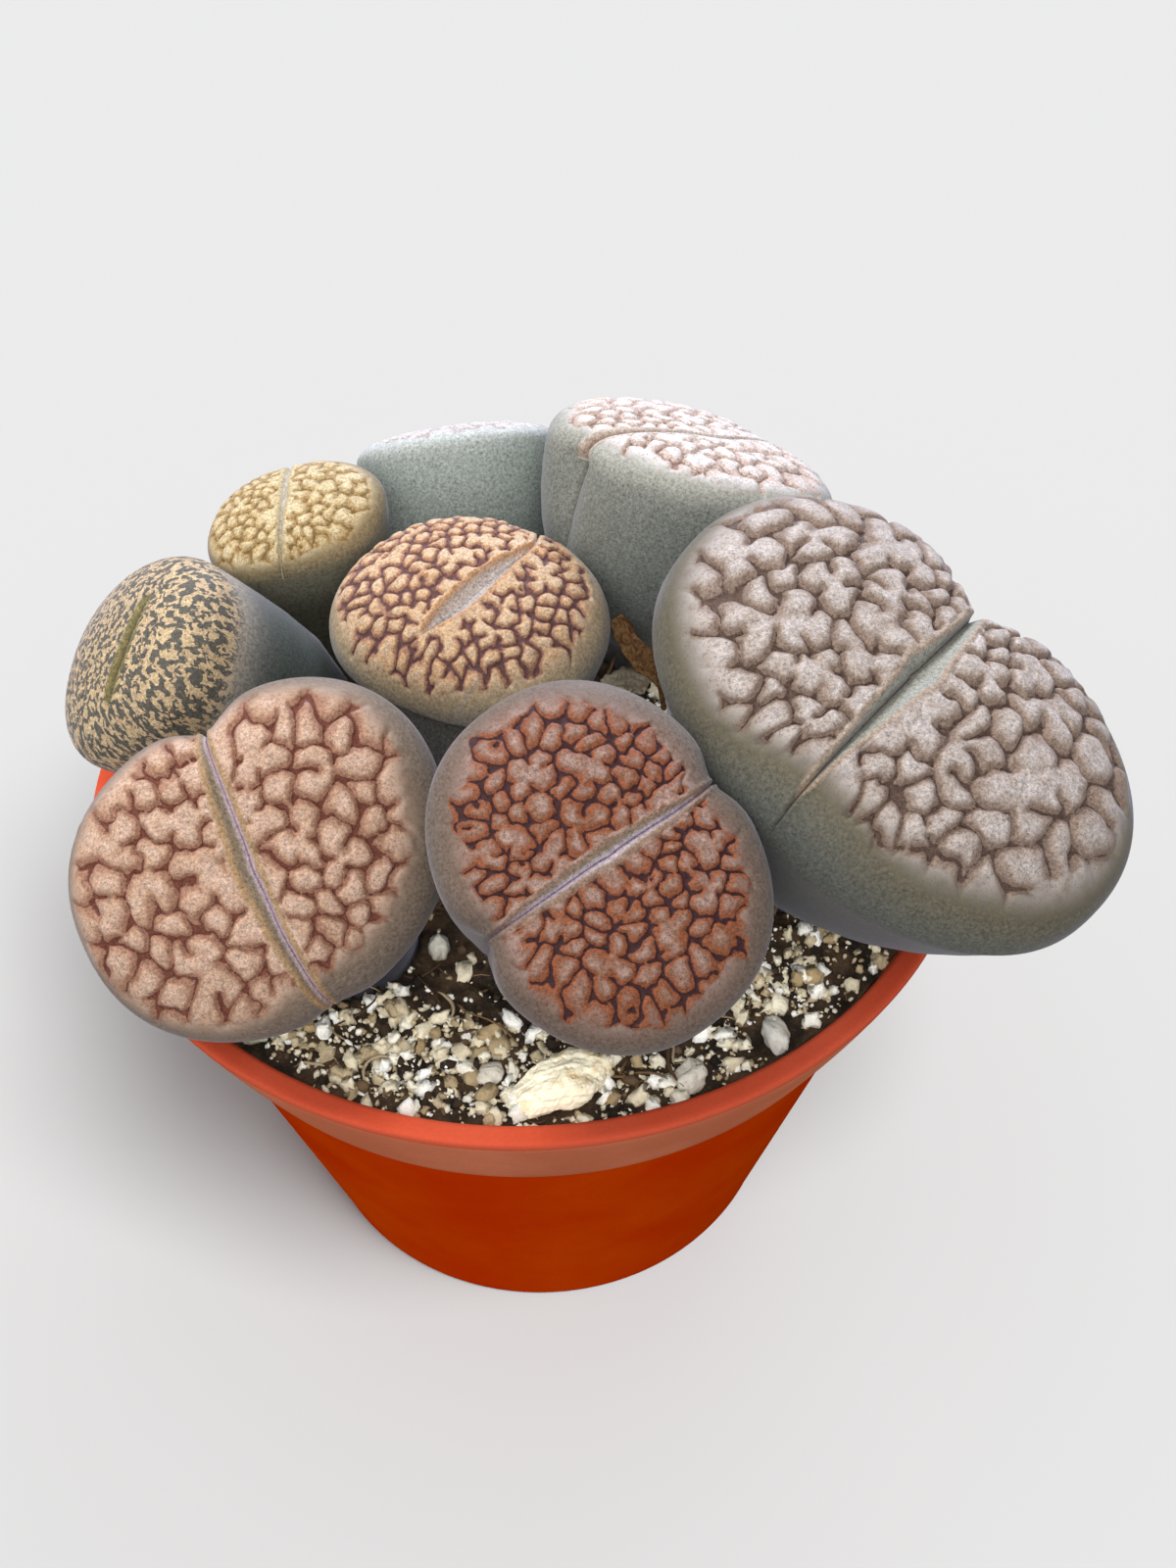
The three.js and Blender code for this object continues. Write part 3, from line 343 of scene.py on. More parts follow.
def mesh_piece(name, places, faces, values=None):
    """A smooth mesh piece from places in millimetres and a list of face arrays."""
    mesh = bpy.data.meshes.new(name)
    places = np.asarray(places, dtype=np.float64)
    blocks = [np.asarray(f, dtype=np.int32) for f in faces if len(f)]
    corners = np.concatenate([b.ravel() for b in blocks])
    counts = np.concatenate([np.full(len(b), b.shape[1]) for b in blocks])
    starts = np.concatenate([[0], np.cumsum(counts)[:-1]])
    mesh.vertices.add(len(places))
    mesh.vertices.foreach_set("co", (places * MM).ravel())
    mesh.loops.add(len(corners))
    mesh.loops.foreach_set("vertex_index", corners)
    mesh.polygons.add(len(counts))
    mesh.polygons.foreach_set("loop_start", starts.astype(np.int32))
    mesh.polygons.foreach_set("use_smooth", np.ones(len(counts), dtype=bool))
    mesh.update(calc_edges=True)
    for key, data in (values or {}).items():
        layer = mesh.attributes.new(key, "FLOAT", "POINT")
        layer.data.foreach_set("value", np.asarray(data, dtype=np.float32))
    piece = bpy.data.objects.new(name, mesh)
    bpy.context.scene.collection.objects.link(piece)
    return piece


def place_piece(piece, node, slot, material):
    piece.data.materials.append(material)
    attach(piece, "root")
    if node:
        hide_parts(node)
    if slot in ("soil", "stone"):
        ground_cover.objects.link(piece)


def circle(radius, level, sides):
    """Places evenly round the pot's axis at one height."""
    a = np.arange(sides) * 2 * math.pi / sides
    return np.stack([radius * np.cos(a), radius * np.sin(a), np.full(sides, level)], -1)


def band(one, two):
    """Faces between two rings of places."""
    return np.stack([one, two, np.roll(two, -1), np.roll(one, -1)], -1)


def band_reversed(one, two):
    """The same faces wound the other way."""
    return np.stack([one, np.roll(one, -1), np.roll(two, -1), two], -1)


def fan(centre, one, two):
    """Faces from a middle place to a ring, given by the first and the second corner on it."""
    return np.stack([np.full(len(one), centre), one, two], -1)


def smooth(x, low, high):
    t = np.clip((x - low) / (high - low), 0, 1)
    return t * t * (3 - 2 * t)


def value_noise(x, y, seed):
    """Smooth noise from 0 to 1 with one bump to each unit."""
    table = np.random.default_rng(seed).random((NOISE_CELLS, NOISE_CELLS))
    xi = np.floor(x).astype(int)
    yi = np.floor(y).astype(int)
    fx = x - xi
    fy = y - yi
    fx = fx * fx * (3 - 2 * fx)
    fy = fy * fy * (3 - 2 * fy)
    a = table[xi % NOISE_CELLS, yi % NOISE_CELLS]
    b = table[(xi + 1) % NOISE_CELLS, yi % NOISE_CELLS]
    c = table[xi % NOISE_CELLS, (yi + 1) % NOISE_CELLS]
    d = table[(xi + 1) % NOISE_CELLS, (yi + 1) % NOISE_CELLS]
    return (a * (1 - fx) + b * fx) * (1 - fy) + (c * (1 - fx) + d * fx) * fy


def ripple(x, y, size, seed, shift=(0, 0)):
    """Smooth noise round zero with bumps of one size."""
    return value_noise(x / size + shift[0], y / size + shift[1], seed) - 0.5


def bell(x, width):
    return np.exp(-((x / width) ** 2))


def sided(side, pair):
    """The second of a pair where side is positive, the first elsewhere."""
    return np.where(side > 0, pair[1], pair[0])


def bumps(x, y, z):
    """Smoothly varying bumps for stones and soil."""
    return (
        np.sin(1.7 * x + 0.9 * y + 1.3) * np.cos(1.3 * y - 0.8 * z + 0.4)
        + 0.6 * np.sin(2.9 * y + 1.9 * z + 2.1) * np.cos(2.3 * x + 1.1 * z)
    )


def turn_about(axis, angle, v):
    """v turned about a unit axis."""
    axis = np.asarray(axis, dtype=float)
    v = np.asarray(v, dtype=float)
    c, s = math.cos(angle), math.sin(angle)
    return v * c + np.cross(axis, v) * s + axis * np.dot(axis, v) * (1 - c)


def head_axes(spec):
    """P runs along the fissure, Q across it and N out of the face."""
    azimuth, yaw, lean = (math.radians(a) for a in (spec.azimuth, spec.yaw, spec.lean))
    axis = (-math.sin(azimuth), math.cos(azimuth), 0)
    ways = (math.cos(yaw), math.sin(yaw), 0), (-math.sin(yaw), math.cos(yaw), 0), (0, 0, 1)
    return [turn_about(axis, lean, way) for way in ways]


def mean_radius(spec):
    return math.sqrt(spec.half_along * sum(spec.half_across) / 2)


def outline_radius(spec, phi, notch_share):
    c = np.cos(phi)
    s = np.sin(phi)
    across = sided(s, spec.half_across)
    total = np.abs(c / spec.half_along) ** OUTLINE_POWER + np.abs(s / across) ** OUTLINE_POWER
    notch = notch_share * sided(c, spec.notch) * bell(s, NOTCH_WIDTH)
    return total ** (-1 / OUTLINE_POWER) * (1 - notch) * (1 + 2 * sided(s, spec.skew) * c * np.abs(s))


def cap_profile(spec):
    """Share of the radius and drop of the cap by arc length, and that length against the mean radius."""
    mean = mean_radius(spec)
    angle = np.linspace(0, math.pi / 2, 241)
    q = np.sin(angle) ** (2 / spec.cap_power)
    w = spec.cap * (np.maximum(0, np.cos(angle)) ** (2 / spec.cap_power) - 1)
    length = np.concatenate([[0], np.cumsum(np.hypot(np.diff(q) * mean, np.diff(w)))])
    return (length / length[-1], q, w), length[-1] / mean


def round_about(centre, radius, phi, p, q):
    return centre + (radius * np.cos(phi))[:, None] * p + (radius * np.sin(phi))[:, None] * q


def bare_face(spec, axes, table, u, v):
    """Places of the face without its relief."""
    share = np.minimum(1, np.hypot(u, v))
    phi = np.arctan2(v, u)
    q = np.interp(share, table[0], table[1])
    w = np.interp(share, table[0], table[2])
    P, Q, N = axes
    radius = q * outline_radius(spec, phi, share * share)
    return round_about(np.asarray(spec.top), radius, phi, P, Q) + w[:, None] * N


def disc_grid(n):
    """Evenly spread places in the unit disc on a square grid of n by n faces."""
    line = np.linspace(-1, 1, n + 1)
    a, b = np.meshgrid(line, line, indexing="ij")
    wide = np.abs(a) > np.abs(b)
    safe_a = np.where(a == 0, 1e-12, a)
    safe_b = np.where(b == 0, 1e-12, b)
    r = np.where(wide, a, b)
    phi = np.where(wide, math.pi / 4 * b / safe_a, math.pi / 2 - math.pi / 4 * a / safe_b)
    u = (r * np.cos(phi)).ravel()
    v = (r * np.sin(phi)).ravel()
    index = np.arange((n + 1) * (n + 1)).reshape(n + 1, n + 1)
    faces = np.stack([index[:-1, :-1], index[1:, :-1], index[1:, 1:], index[:-1, 1:]], -1).reshape(-1, 4)
    border = np.concatenate([index[:-1, 0], index[-1, :-1], index[:0:-1, -1], index[0, :0:-1]])
    return u, v, faces, border


def squeeze(r):
    """Radius at which the net is read, so that its cells are drawn out near the rim."""
    return np.where(r < OPEN_FROM, r, OPEN_FROM + (r - OPEN_FROM) * OPEN_RATE)


def reach_at(spec, phi):
    """How far the pattern spreads at each bearing."""
    values = np.array(spec.reach + spec.reach[:1])
    t = (phi / (math.pi / 4)) % 8
    k = np.minimum(7, np.floor(t).astype(int))
    f = smooth(t - k, 0, 1)
    return values[k] * (1 - f) + values[k + 1] * f


def eased(u, at, values):
    """Values between knots, with their corners rounded."""
    line = np.linspace(-1.2, 1.2, 481)
    kernel = np.hanning(61)
    padded = np.pad(np.interp(line, at, values), len(kernel) // 2, mode="edge")
    table = np.convolve(padded, kernel / kernel.sum(), mode="valid")
    return np.interp(u, line, table)


def fissure(spec, u, y):
    """Signed distance across the fissure, its half widths and how much of it there is."""
    slit = spec.slit
    at = slit.at
    off = eased(u, at, slit.off)
    slope = (eased(u + 0.01, at, slit.off) - eased(u - 0.01, at, slit.off)) / (0.024 * spec.half_along)
    across = (y - off) / np.sqrt(1 + slope**2)
    first = 1.0 if slit.open[0] else smooth(u, at[0] - 0.02, at[0] + 0.06)
    last = 1.0 if slit.open[1] else 1 - smooth(u, at[-1] - 0.06, at[-1] + 0.02)
    return across, eased(u, at, slit.plus), eased(u, at, slit.minus), first * last


def soft_least(values, blend):
    least = values.min(axis=1)
    return least - blend * np.log(np.exp(-(values - least[:, None]) / blend).sum(axis=1))


def line_distance(x, y, ends):
    """Distance to the nearest of many short lines that narrow towards their second end."""
    best = np.full(len(x), 9.0)
    for x0, y0, x1, y1, half in ends:
        dx, dy = x1 - x0, y1 - y0
        t = np.clip(((x - x0) * dx + (y - y0) * dy) / (dx * dx + dy * dy + 1e-9), 0, 1)
        away = np.hypot(x - x0 - t * dx, y - y0 - t * dy) - half * (1 - 0.7 * t)
        best = np.minimum(best, away)
    return best


def shared_borders(sites, limit):
    """Every border between two neighbouring sites, with its ends and the third site met at each end."""
    found = []
    for i in range(len(sites)):
        near = np.flatnonzero(np.hypot(*(sites - sites[i]).T) < limit)
        for j in near[near > i]:
            mid = (sites[i] + sites[j]) / 2
            gap = sites[j] - sites[i]
            way = np.array([-gap[1], gap[0]]) / math.hypot(gap[0], gap[1])
            lead = 2 * (sites - sites[i]) @ way
            room = ((mid - sites) ** 2).sum(1) - ((mid - sites[i]) ** 2).sum()
            ratio = room / np.where(np.abs(lead) < 1e-9, 1e-9, lead)
            ahead = np.where(lead > 1e-6, ratio, np.inf)
            behind = np.where(lead < -1e-6, ratio, -np.inf)
            k, m = int(ahead.argmin()), int(behind.argmax())
            if ahead[k] > behind[m] and ahead[k] < limit and behind[m] > -limit:
                found.append((i, int(j), mid, way, float(ahead[k]), k, float(behind[m]), m))
    return found


def net_sites(spec, rng, stretch):
    """Middles of the cells, the fissure's side each is on, and how far it lies past the pattern's rim."""
    cell = spec.cell
    size_x = spec.half_along * stretch
    most_r = float(squeeze(np.array(1.05)))
    sites = np.empty((0, 2))
    sides, outside = [], []
    for _ in range(NET_TRIES):
        rs = most_r * math.sqrt(rng.random())
        a = 2 * math.pi * rng.random()
        size_y = spec.half_across[1 if math.sin(a) > 0 else 0] * stretch
        spot = np.array([size_x * rs * math.cos(a), size_y * rs * math.sin(a)])
        real = rs if rs < OPEN_FROM else OPEN_FROM + (rs - OPEN_FROM) / OPEN_RATE
        across, plus, minus, along = fissure(spec, real * math.cos(a), real * math.sin(a) * size_y)
        half = float(plus if across > 0 else minus)
        if along > 0.3 and abs(across) - half < 0.7 * spec.slit.lip + 0.18 * cell:
            continue
        if len(sites) and ((sites - spot) ** 2).sum(1).min() < (SITE_SPACING * cell) ** 2:
            continue
        sites = np.vstack([sites, spot])
        sides.append(float(np.sign(across)) if along > 0.3 else 0.0)
        outside.append(real - float(reach_at(spec, np.array([a]))[0]) + 0.4 * cell / size_x)
    return sites, sides, outside


def joined_cells(spec, rng, sites, sides, outside):
    """The island of each cell, and the borders that end up inside islands."""
    island = np.arange(len(sites))
    links = shared_borders(sites, BORDER_LIMIT * spec.cell)
    # the outermost cells belong to their inner neighbours, so lines near the rim only run outwards
    for i in np.argsort(outside):
        if outside[i] < 0:
            continue
        touching = [b if a == i else a for a, b, *_ in links if i in (a, b)]
        inner = [k for k in touching if outside[k] < outside[i]]
        if inner:
            best = min(inner, key=lambda k: outside[k] + 0.02 * np.hypot(*(sites[k] - sites[i])))
            island[island == island[i]] = island[best]
    kept = []
    for n in rng.permutation(len(links)):
        i, j, _, _, stop, _, start, _ = links[n]
        if sides[i] * sides[j] < 0:
            continue
        if island[i] != island[j]:
            size = int(((island == island[i]) | (island == island[j])).sum())
            if size > spec.most or stop - start < SHORT_BORDER * spec.cell or rng.random() > spec.join:
                continue
            island[island == island[j]] = island[i]
        kept.append(links[n])
    return island, [link for link in kept if island[link[0]] == island[link[1]]]


def net_marks(spec, rng, sites, outside, island, inside):
    """Short lines that cut into the islands, and the folds between the cells of one island."""
    cell = spec.cell
    dents, folds = [], []
    for i, _, mid, way, t1, k1, t0, k0 in inside:
        length = t1 - t0
        folds.append((*(mid + way * t0), *(mid + way * t1), 0.0))
        for t, k, turn in ((t1, k1, -1), (t0, k0, 1)):
            if island[k] == island[i] or length < 0.3 * cell:
                continue
            part = (0.2 + 0.45 * rng.random()) * length
            dents.append((*(mid + way * t), *(mid + way * (t + turn * part)), 0.05 * cell))
    for i in range(len(sites)):
        if rng.random() < spec.pits and outside[i] < -0.05:
            a = 2 * math.pi * rng.random()
            px, py = sites[i] + 0.2 * cell * np.array([math.cos(a), math.sin(a)])
            b = a + 0.6 * rng.random()
            far = 0.18 * cell * rng.random()
            dents.append((px, py, px + far * math.cos(b), py + far * math.sin(b), 0.06 * cell))
    return dents, folds


def island_net(spec, x, y, stretch):
    """Distance in millimetres from the lines and from the folds of the net, and a shade for each island."""
    rng = np.random.default_rng(spec.seed)
    cell = spec.cell
    sites, sides, outside = net_sites(spec, rng, stretch)
    island, inside = joined_cells(spec, rng, sites, sides, outside)
    dents, folds = net_marks(spec, rng, sites, outside, island, inside)
    bent = [x, y]
    for k, (axis, strength, size, *shift) in enumerate(NET_WARPS):
        bent[axis] = bent[axis] + strength * cell * ripple(x, y, size * cell, spec.seed + 1 + k, shift)
    wx, wy = bent
    net = np.empty(len(x))
    tone = np.empty(len(x))
    shade = rng.random(len(sites))
    for start in range(0, len(x), NET_CHUNK):
        part = slice(start, start + NET_CHUNK)
        away = np.hypot(wx[part, None] - sites[None, :, 0], wy[part, None] - sites[None, :, 1])
        own = island[away.argmin(axis=1)]
        mine = island[None, :] == own[:, None]
        inner = soft_least(np.where(mine, away, 99.0), NET_SOFTNESS * cell)
        outer = soft_least(np.where(mine, 99.0, away), NET_SOFTNESS * cell)
        net[part] = (outer - inner) / 2
        tone[part] = shade[own]
    both = np.stack([net, line_distance(wx, wy, dents)], 1)
    return soft_least(both, 0.05 * cell), tone, line_distance(wx, wy, folds)


def wall_rings(spec, axes, phi, crease):
    """Rings of the wall down a bent spine to the neck, and the spine's length against the mean radius."""
    P, Q, N = axes
    mean = mean_radius(spec)
    a = np.asarray(spec.top, dtype=float) - spec.cap * N
    d = np.array([*spec.root, NECK_Z])
    span = np.linalg.norm(a - d)
    b = a - N * span * 0.5
    c = d + np.array([0, 0, span * 0.38])
    rings = []
    for t in WALL_STEPS:
        k = 1 - t
        centre = k**3 * a + 3 * k * k * t * b + 3 * k * t * t * c + t**3 * d
        along = 3 * k * k * (b - a) + 6 * k * t * (c - b) + 3 * t * t * (d - c)
        upward = -along / np.linalg.norm(along)
        axis = np.cross(N, upward)
        size = np.linalg.norm(axis)
        angle = math.atan2(size, float(np.dot(N, upward)))
        p, q = (turn_about(axis / max(size, 1e-9), angle, way) for way in (P, Q))
        scale = 1 + (spec.root_radius / mean - 1) * t**spec.swell
        radius = (outline_radius(spec, phi, max(0, 1 - 1.6 * t)) * (1 - t) + mean * t) * scale
        radius = radius - crease * max(0.0, 1 - t / 0.5) ** 1.6
        rings.append(round_about(centre, radius, phi, p, q))
    return rings, span / mean


def face_relief(spec, u, v, stretch):
    """Lift along the normal, crease and dark line at the rim, and the skin's values on the face."""
    r = np.hypot(u, v)
    phi = np.arctan2(v, u)
    x = u * spec.half_along * stretch
    y = v * sided(v, spec.half_across) * stretch
    drawn = squeeze(r) / np.maximum(r, 1e-6)
    slit, seed, cell = spec.slit, spec.seed, spec.cell
    if spec.kind == "mottle":
        net, tone, fold = (np.full(len(u), flat) for flat in (2.0, 0.5, 9.0))
    else:
        net, tone, fold = island_net(spec, x * drawn, y * drawn, stretch)
    across, plus, minus, along = fissure(spec, u, y)
    half = np.where(across > 0, plus, minus)
    beyond = np.abs(across) - half
    ragged = ripple(x, y, 0.9 * cell, seed + 7) + 0.6 * ripple(x, y, 0.35 * cell, seed + 8)
    finger = ripple(x * drawn, y * drawn, 0.7 * cell, seed + 12, (3, 0))
    area = 1 - smooth(r - reach_at(spec, phi) + 0.12 * finger, -0.03, 0.03)
    beside = smooth(beyond + 0.5 * ragged, 0.4 * slit.lip, 1.1 * slit.lip)
    area = area * (1 - along * (1 - beside))

    # pillows with sunken lines between them
    rise = np.clip((net - 0.5 * spec.channel) / (0.34 * cell), 0, 1)
    pillow = np.sqrt(np.clip(1 - (1 - rise) ** 2, 0, 1)) - 0.16 * bell(fold, 0.13 * cell) * rise
    lift = spec.relief * (pillow - 0.72) * area * (1 - 0.55 * smooth(r, 0.6, 0.95))
    lift += 0.1 * spec.relief * ripple(x, y, 0.4 * cell, seed + 9) * area
    # fissure
    peak = max(slit.plus) + max(slit.minus)
    deep = slit.valley * np.sqrt(np.clip((plus + minus) / peak, 0, 1))
    shape = (1 - np.clip(np.abs(across) / np.maximum(half, 0.05), 0, 1) ** slit.form) ** 1.4
    depth = deep * shape + slit.line * bell(across, 0.24) - 0.14 * bell(beyond - 0.35, 0.35)
    # its ends, which fold over the rim
    ahead = np.cos(phi)
    away = np.abs(np.sin(phi)) * spec.half_along
    opened = sided(ahead, slit.fold)
    end_half = sided(ahead, (slit.plus[0] + slit.minus[0], slit.plus[-1] + slit.minus[-1])) / 2
    crease = opened * (0.6 * bell(away, 0.5 + end_half) + 0.4 * bell(away, 0.35))
    line = np.where(opened > 0, bell(away, 0.25), 0.0)
    cleft = np.where(ahead > 0, slit.cleft[0] * bell(away, slit.cleft[1]), 0.0)
    ending = smooth(r, 0.9, 1.0)
    lift = lift * (1 - smooth(r, 0.94, 1.0)) - along * depth * (1 - ending) - crease * ending
    lift -= cleft * smooth(r, 0.45, 0.95)

    hidden = 9.0 * (1 - along)
    narrow = 0.9 * (1 - smooth(plus + minus, 0.2, 0.7))
    values = {
        "net": np.clip(net, 0, 3) + 3 * (1 - area), "across": across + hidden,
        "beyond": beyond + hidden + narrow, "tone": tone, "line": line * ending,
    }
    return lift, crease + cleft, line, values


def lithops(spec):
    """One body: patterned face, swollen wall along a bent spine, and a round root."""
    axes = head_axes(spec)
    table, stretch = cap_profile(spec)
    u, v, grid, border = disc_grid(spec.grid)
    hold = np.minimum(1, RIM_HOLD / np.maximum(1e-3, np.hypot(u, v)))

    def slope(du, dv):
        ahead = bare_face(spec, axes, table, u * hold + du, v * hold + dv)
        return ahead - bare_face(spec, axes, table, u * hold - du, v * hold - dv)

    normal = np.cross(slope(SLOPE_STEP, 0), slope(0, SLOPE_STEP))
    normal /= np.linalg.norm(normal, axis=1)[:, None]
    lift, crease, line, face_values = face_relief(spec, u, v, stretch)
    face = bare_face(spec, axes, table, u, v) + normal * lift[:, None]

    phi = np.arctan2(v, u)
    rings, span = wall_rings(spec, axes, phi[border], crease[border])
    foot = rings[-1].copy()
    foot[:, 2] = ROOT_BOTTOM_Z
    rings.append(foot)
    n = len(border)
    ring = border
    faces = [grid]
    for k in range(len(rings)):
        below = len(u) + k * n + np.arange(n)
        faces.append(band(ring, below))
        ring = below
    faces.append(fan(ring[-1] + 1, np.roll(ring, -1), ring))

    # values for the skin, going on down the wall
    down = np.append(np.repeat([*WALL_STEPS, ROOT_STEP], n), ROOT_STEP)
    reach = np.concatenate([np.hypot(u, v), 1 + down * span / stretch])
    turns = np.concatenate([phi, np.tile(phi[border], len(rings)), [0.0]])
    wall_line = np.append(np.tile(line[border], len(rings)), 0.0) * np.maximum(0, 1 - down / 0.45)
    flat = squeeze(reach) * stretch
    wall_values = dict(net=6.0, across=9.0, beyond=9.0, tone=0.5, line=wall_line)
    values = {
        key: np.concatenate([face_values[key], np.broadcast_to(far, len(down))])
        for key, far in wall_values.items()
    }
    values["rim"] = reach - reach_at(spec, turns)
    values["reach"] = (reach - 1) * stretch / span
    values["flat_x"] = flat * np.cos(turns) * spec.half_along * MM
    values["flat_y"] = flat * np.sin(turns) * sum(spec.half_across) / 2 * MM
    middle = np.array([[*spec.root, ROOT_BOTTOM_Z]])
    return mesh_piece(spec.name + "_body", np.concatenate([face, *rings, middle]), faces, values)


def colour(c):
    """Linear colour from red, green and blue as shown on a screen, 0 to 255."""
    return tuple(v / 3294.6 if v <= 10.31 else ((v / 255 + 0.055) / 1.055) ** 2.4 for v in c) + (1.0,)


class Paint:
    """A procedural material, with short calls for its nodes."""

    def __init__(self, name):
        self.material = bpy.data.materials.new(name)
        self.material.use_nodes = True
        self.tree = self.material.node_tree
        self.tree.nodes.clear()
        out = self.tree.nodes.new("ShaderNodeOutputMaterial")
        self.shader = self.tree.nodes.new("ShaderNodeBsdfPrincipled")
        self.tree.links.new(self.shader.outputs[0], out.inputs["Surface"])
        self.where = self.node("TexCoord", "Object")

    def put(self, socket, value):
        if isinstance(value, bpy.types.NodeSocket):
            self.tree.links.new(value, socket)
        elif isinstance(value, tuple) and len(value) == 3 and socket.type == "RGBA":
            socket.default_value = colour(value)
        else:
            socket.default_value = value

    def node(self, kind, out, inputs=(), **settings):
        """One output of a new node. Inputs are pairs of a socket and its value."""
        made = self.tree.nodes.new("ShaderNode" + kind)
        for name, setting in settings.items():
            setattr(made, name, setting)
        for key, value in inputs:
            self.put(made.inputs[key], value)
        return made.outputs[out]

    def value(self, name):
        return self.node("Attribute", "Fac", attribute_name=name)

    def noise(self, size, detail=2.0, rough=0.5, warp=0.0, vector=None):
        return self.node("TexNoise", "Fac", (
            ("Vector", vector or self.where), ("Scale", 1 / (size * MM)), ("Detail", detail),
            ("Roughness", rough), ("Distortion", warp)))

    def cells(self, size):
        return self.node("TexVoronoi", "Distance", (("Vector", self.where), ("Scale", 1 / (size * MM))))

    def sum(self, kind, a, b=0.0):
        return self.node("Math", 0, ((0, a), (1, b)), operation=kind)

    def plus(self, a, b):
        return self.sum("ADD", a, b)

    def times(self, a, b):
        return self.sum("MULTIPLY", a, b)

    def span(self, value, low, high, to_low=0.0, to_high=1.0):
        return self.node("MapRange", "Result", (
            ("Value", value), ("From Min", low), ("From Max", high), ("To Min", to_low), ("To Max", to_high),
        ), interpolation_type="SMOOTHSTEP")

    def mix(self, share, a, b, kind="MIX"):
        return self.node("Mix", 2, ((0, share), (6, a), (7, b)), data_type="RGBA", blend_type=kind)

    def bump(self, height, strength, distance):
        return self.node("Bump", "Normal", (
            ("Strength", strength), ("Distance", distance * MM), ("Height", height)))

    def finish(self, base, rough, normal=None, specular=0.5):
        self.put(self.shader.inputs["Base Color"], base)
        self.put(self.shader.inputs["Roughness"], rough)
        self.shader.inputs["Specular IOR Level"].default_value = specular
        if normal is not None:
            self.tree.links.new(normal, self.shader.inputs["Normal"])
        return self.material


def skin(spec):
    """Waxy leaf skin: islands and sunken lines on the face, a speckled margin and a bloomed wall, with
    painted shade on the island slopes and towards the foot of the wall.
    """
    p = Paint(spec.name + "_skin")
    c = spec.looks
    values = ("net", "rim", "reach", "across", "beyond", "line", "tone")
    net, rim, reach, across, beyond, line, tone = (p.value(name) for name in values)
    channel, soft, lip = spec.channel, spec.soft, spec.slit.lip

    broad = p.noise(9.0)
    middle = p.noise(1.6, 3.0)
    fine = p.noise(0.36, 3.0, 0.6)
    dust = p.noise(0.17, 2.0, 0.7)
    fleck = p.sum("SUBTRACT", p.plus(p.times(fine, 0.5), p.times(dust, 0.5)), 0.5)

    # islands, fading into the margin and the wall
    island = p.mix(p.span(broad, 0.38, 0.62), c.island, c.second)
    island = p.mix(p.times(tone, 0.4), island, c.centre)
    pale = p.times(p.span(net, channel + 0.7 * soft, channel + 1.8 * soft), p.span(middle, 0.3, 0.6))
    island = p.mix(pale, island, c.centre)
    wall = p.mix(p.span(rim, 0.0, 0.28), c.margin, c.wall)
    # painted shade: the wall darkens to the colour low towards its foot and the neck
    wall = p.mix(p.span(reach, -0.04, 0.42), wall, c.low)
    wall = p.mix(p.times(p.span(dust, 0.52, 0.66), 0.4), wall, c.low)
    if spec.kind == "mottle":
        where = p.node("CombineXYZ", 0, ((0, p.value("flat_x")), (1, p.value("flat_y"))))
        patch = p.noise(spec.cell, 2.0, 0.55, 0.4, where)
        island = p.mix(p.span(p.plus(patch, p.times(fleck, 0.12)), 0.485, 0.515), c.groove, island)
    base = p.mix(p.span(p.plus(rim, p.times(fleck, 0.3)), -0.1, 0.06), island, wall)
    # sunken lines, with painted shade on the island slopes that run down to them
    away = p.plus(net, p.times(fleck, 0.45 * channel + 0.08))
    # painted shade on each island's slope beside the lines, over the rim's own darker colour
    base = p.mix(p.span(away, channel + 0.3 * soft, channel + soft, 0.85, 0.0), base, c.edge)
    base = p.mix(p.span(away, 0.5 * channel, 1.3 * channel, 1.0, 0.0), base, c.groove)

    # lips and floor of the fissure
    base = p.mix(p.span(beyond, 0.4 * lip, 1.15 * lip, 0.85, 0.0), base, c.lip)
    floor = p.mix(p.span(across, -0.12, 0.12), c.slit, c.slit_plus)
    middle_line = p.sum("ABSOLUTE", across)
    floor = p.mix(p.span(middle_line, 0.2, 0.6, 0.9, 0.0), floor, c.near)
    base = p.mix(p.span(beyond, -0.45, 0.15, 1.0, 0.0), base, floor)
    base = p.mix(p.span(middle_line, 0.03, 0.16, 0.9, 0.0), base, c.line)
    base = p.mix(p.times(line, 0.75), base, c.line)

    # fine flecks over everything
    base = p.mix(1.0, base, p.plus(1.0, p.times(fleck, 3.6)), "MULTIPLY")
    height = p.plus(fine, p.times(dust, 0.7))
    rough = p.span(fine, 0.3, 0.7, 0.5, 0.66)
    p.shader.inputs["Sheen Weight"].default_value = 0.3
    p.shader.inputs["Sheen Roughness"].default_value = 0.36
    p.shader.inputs["Sheen Tint"].default_value = (0.82, 0.82, 1.0, 1)
    return p.finish(base, rough, p.bump(height, 0.35, 0.12), 0.22)


def lathe(name, rows, low, high):
    """A closed piece turned round the pot's axis, with a middle place below and one above."""
    sides = POT_SIDES
    places = [circle(radius, level, sides) for radius, level in rows]
    places.append(np.array([[0, 0, low], [0, 0, high]]))
    first = np.arange(sides)
    faces = []
    for k in range(len(rows) - 1):
        faces.append(band_reversed(first + k * sides, first + (k + 1) * sides))
    count = len(rows) * sides
    last = first + count - sides
    faces.append(fan(count, np.roll(first, -1), first))
    faces.append(fan(count + 1, last, np.roll(last, -1)))
    return mesh_piece(name, np.concatenate(places), faces)


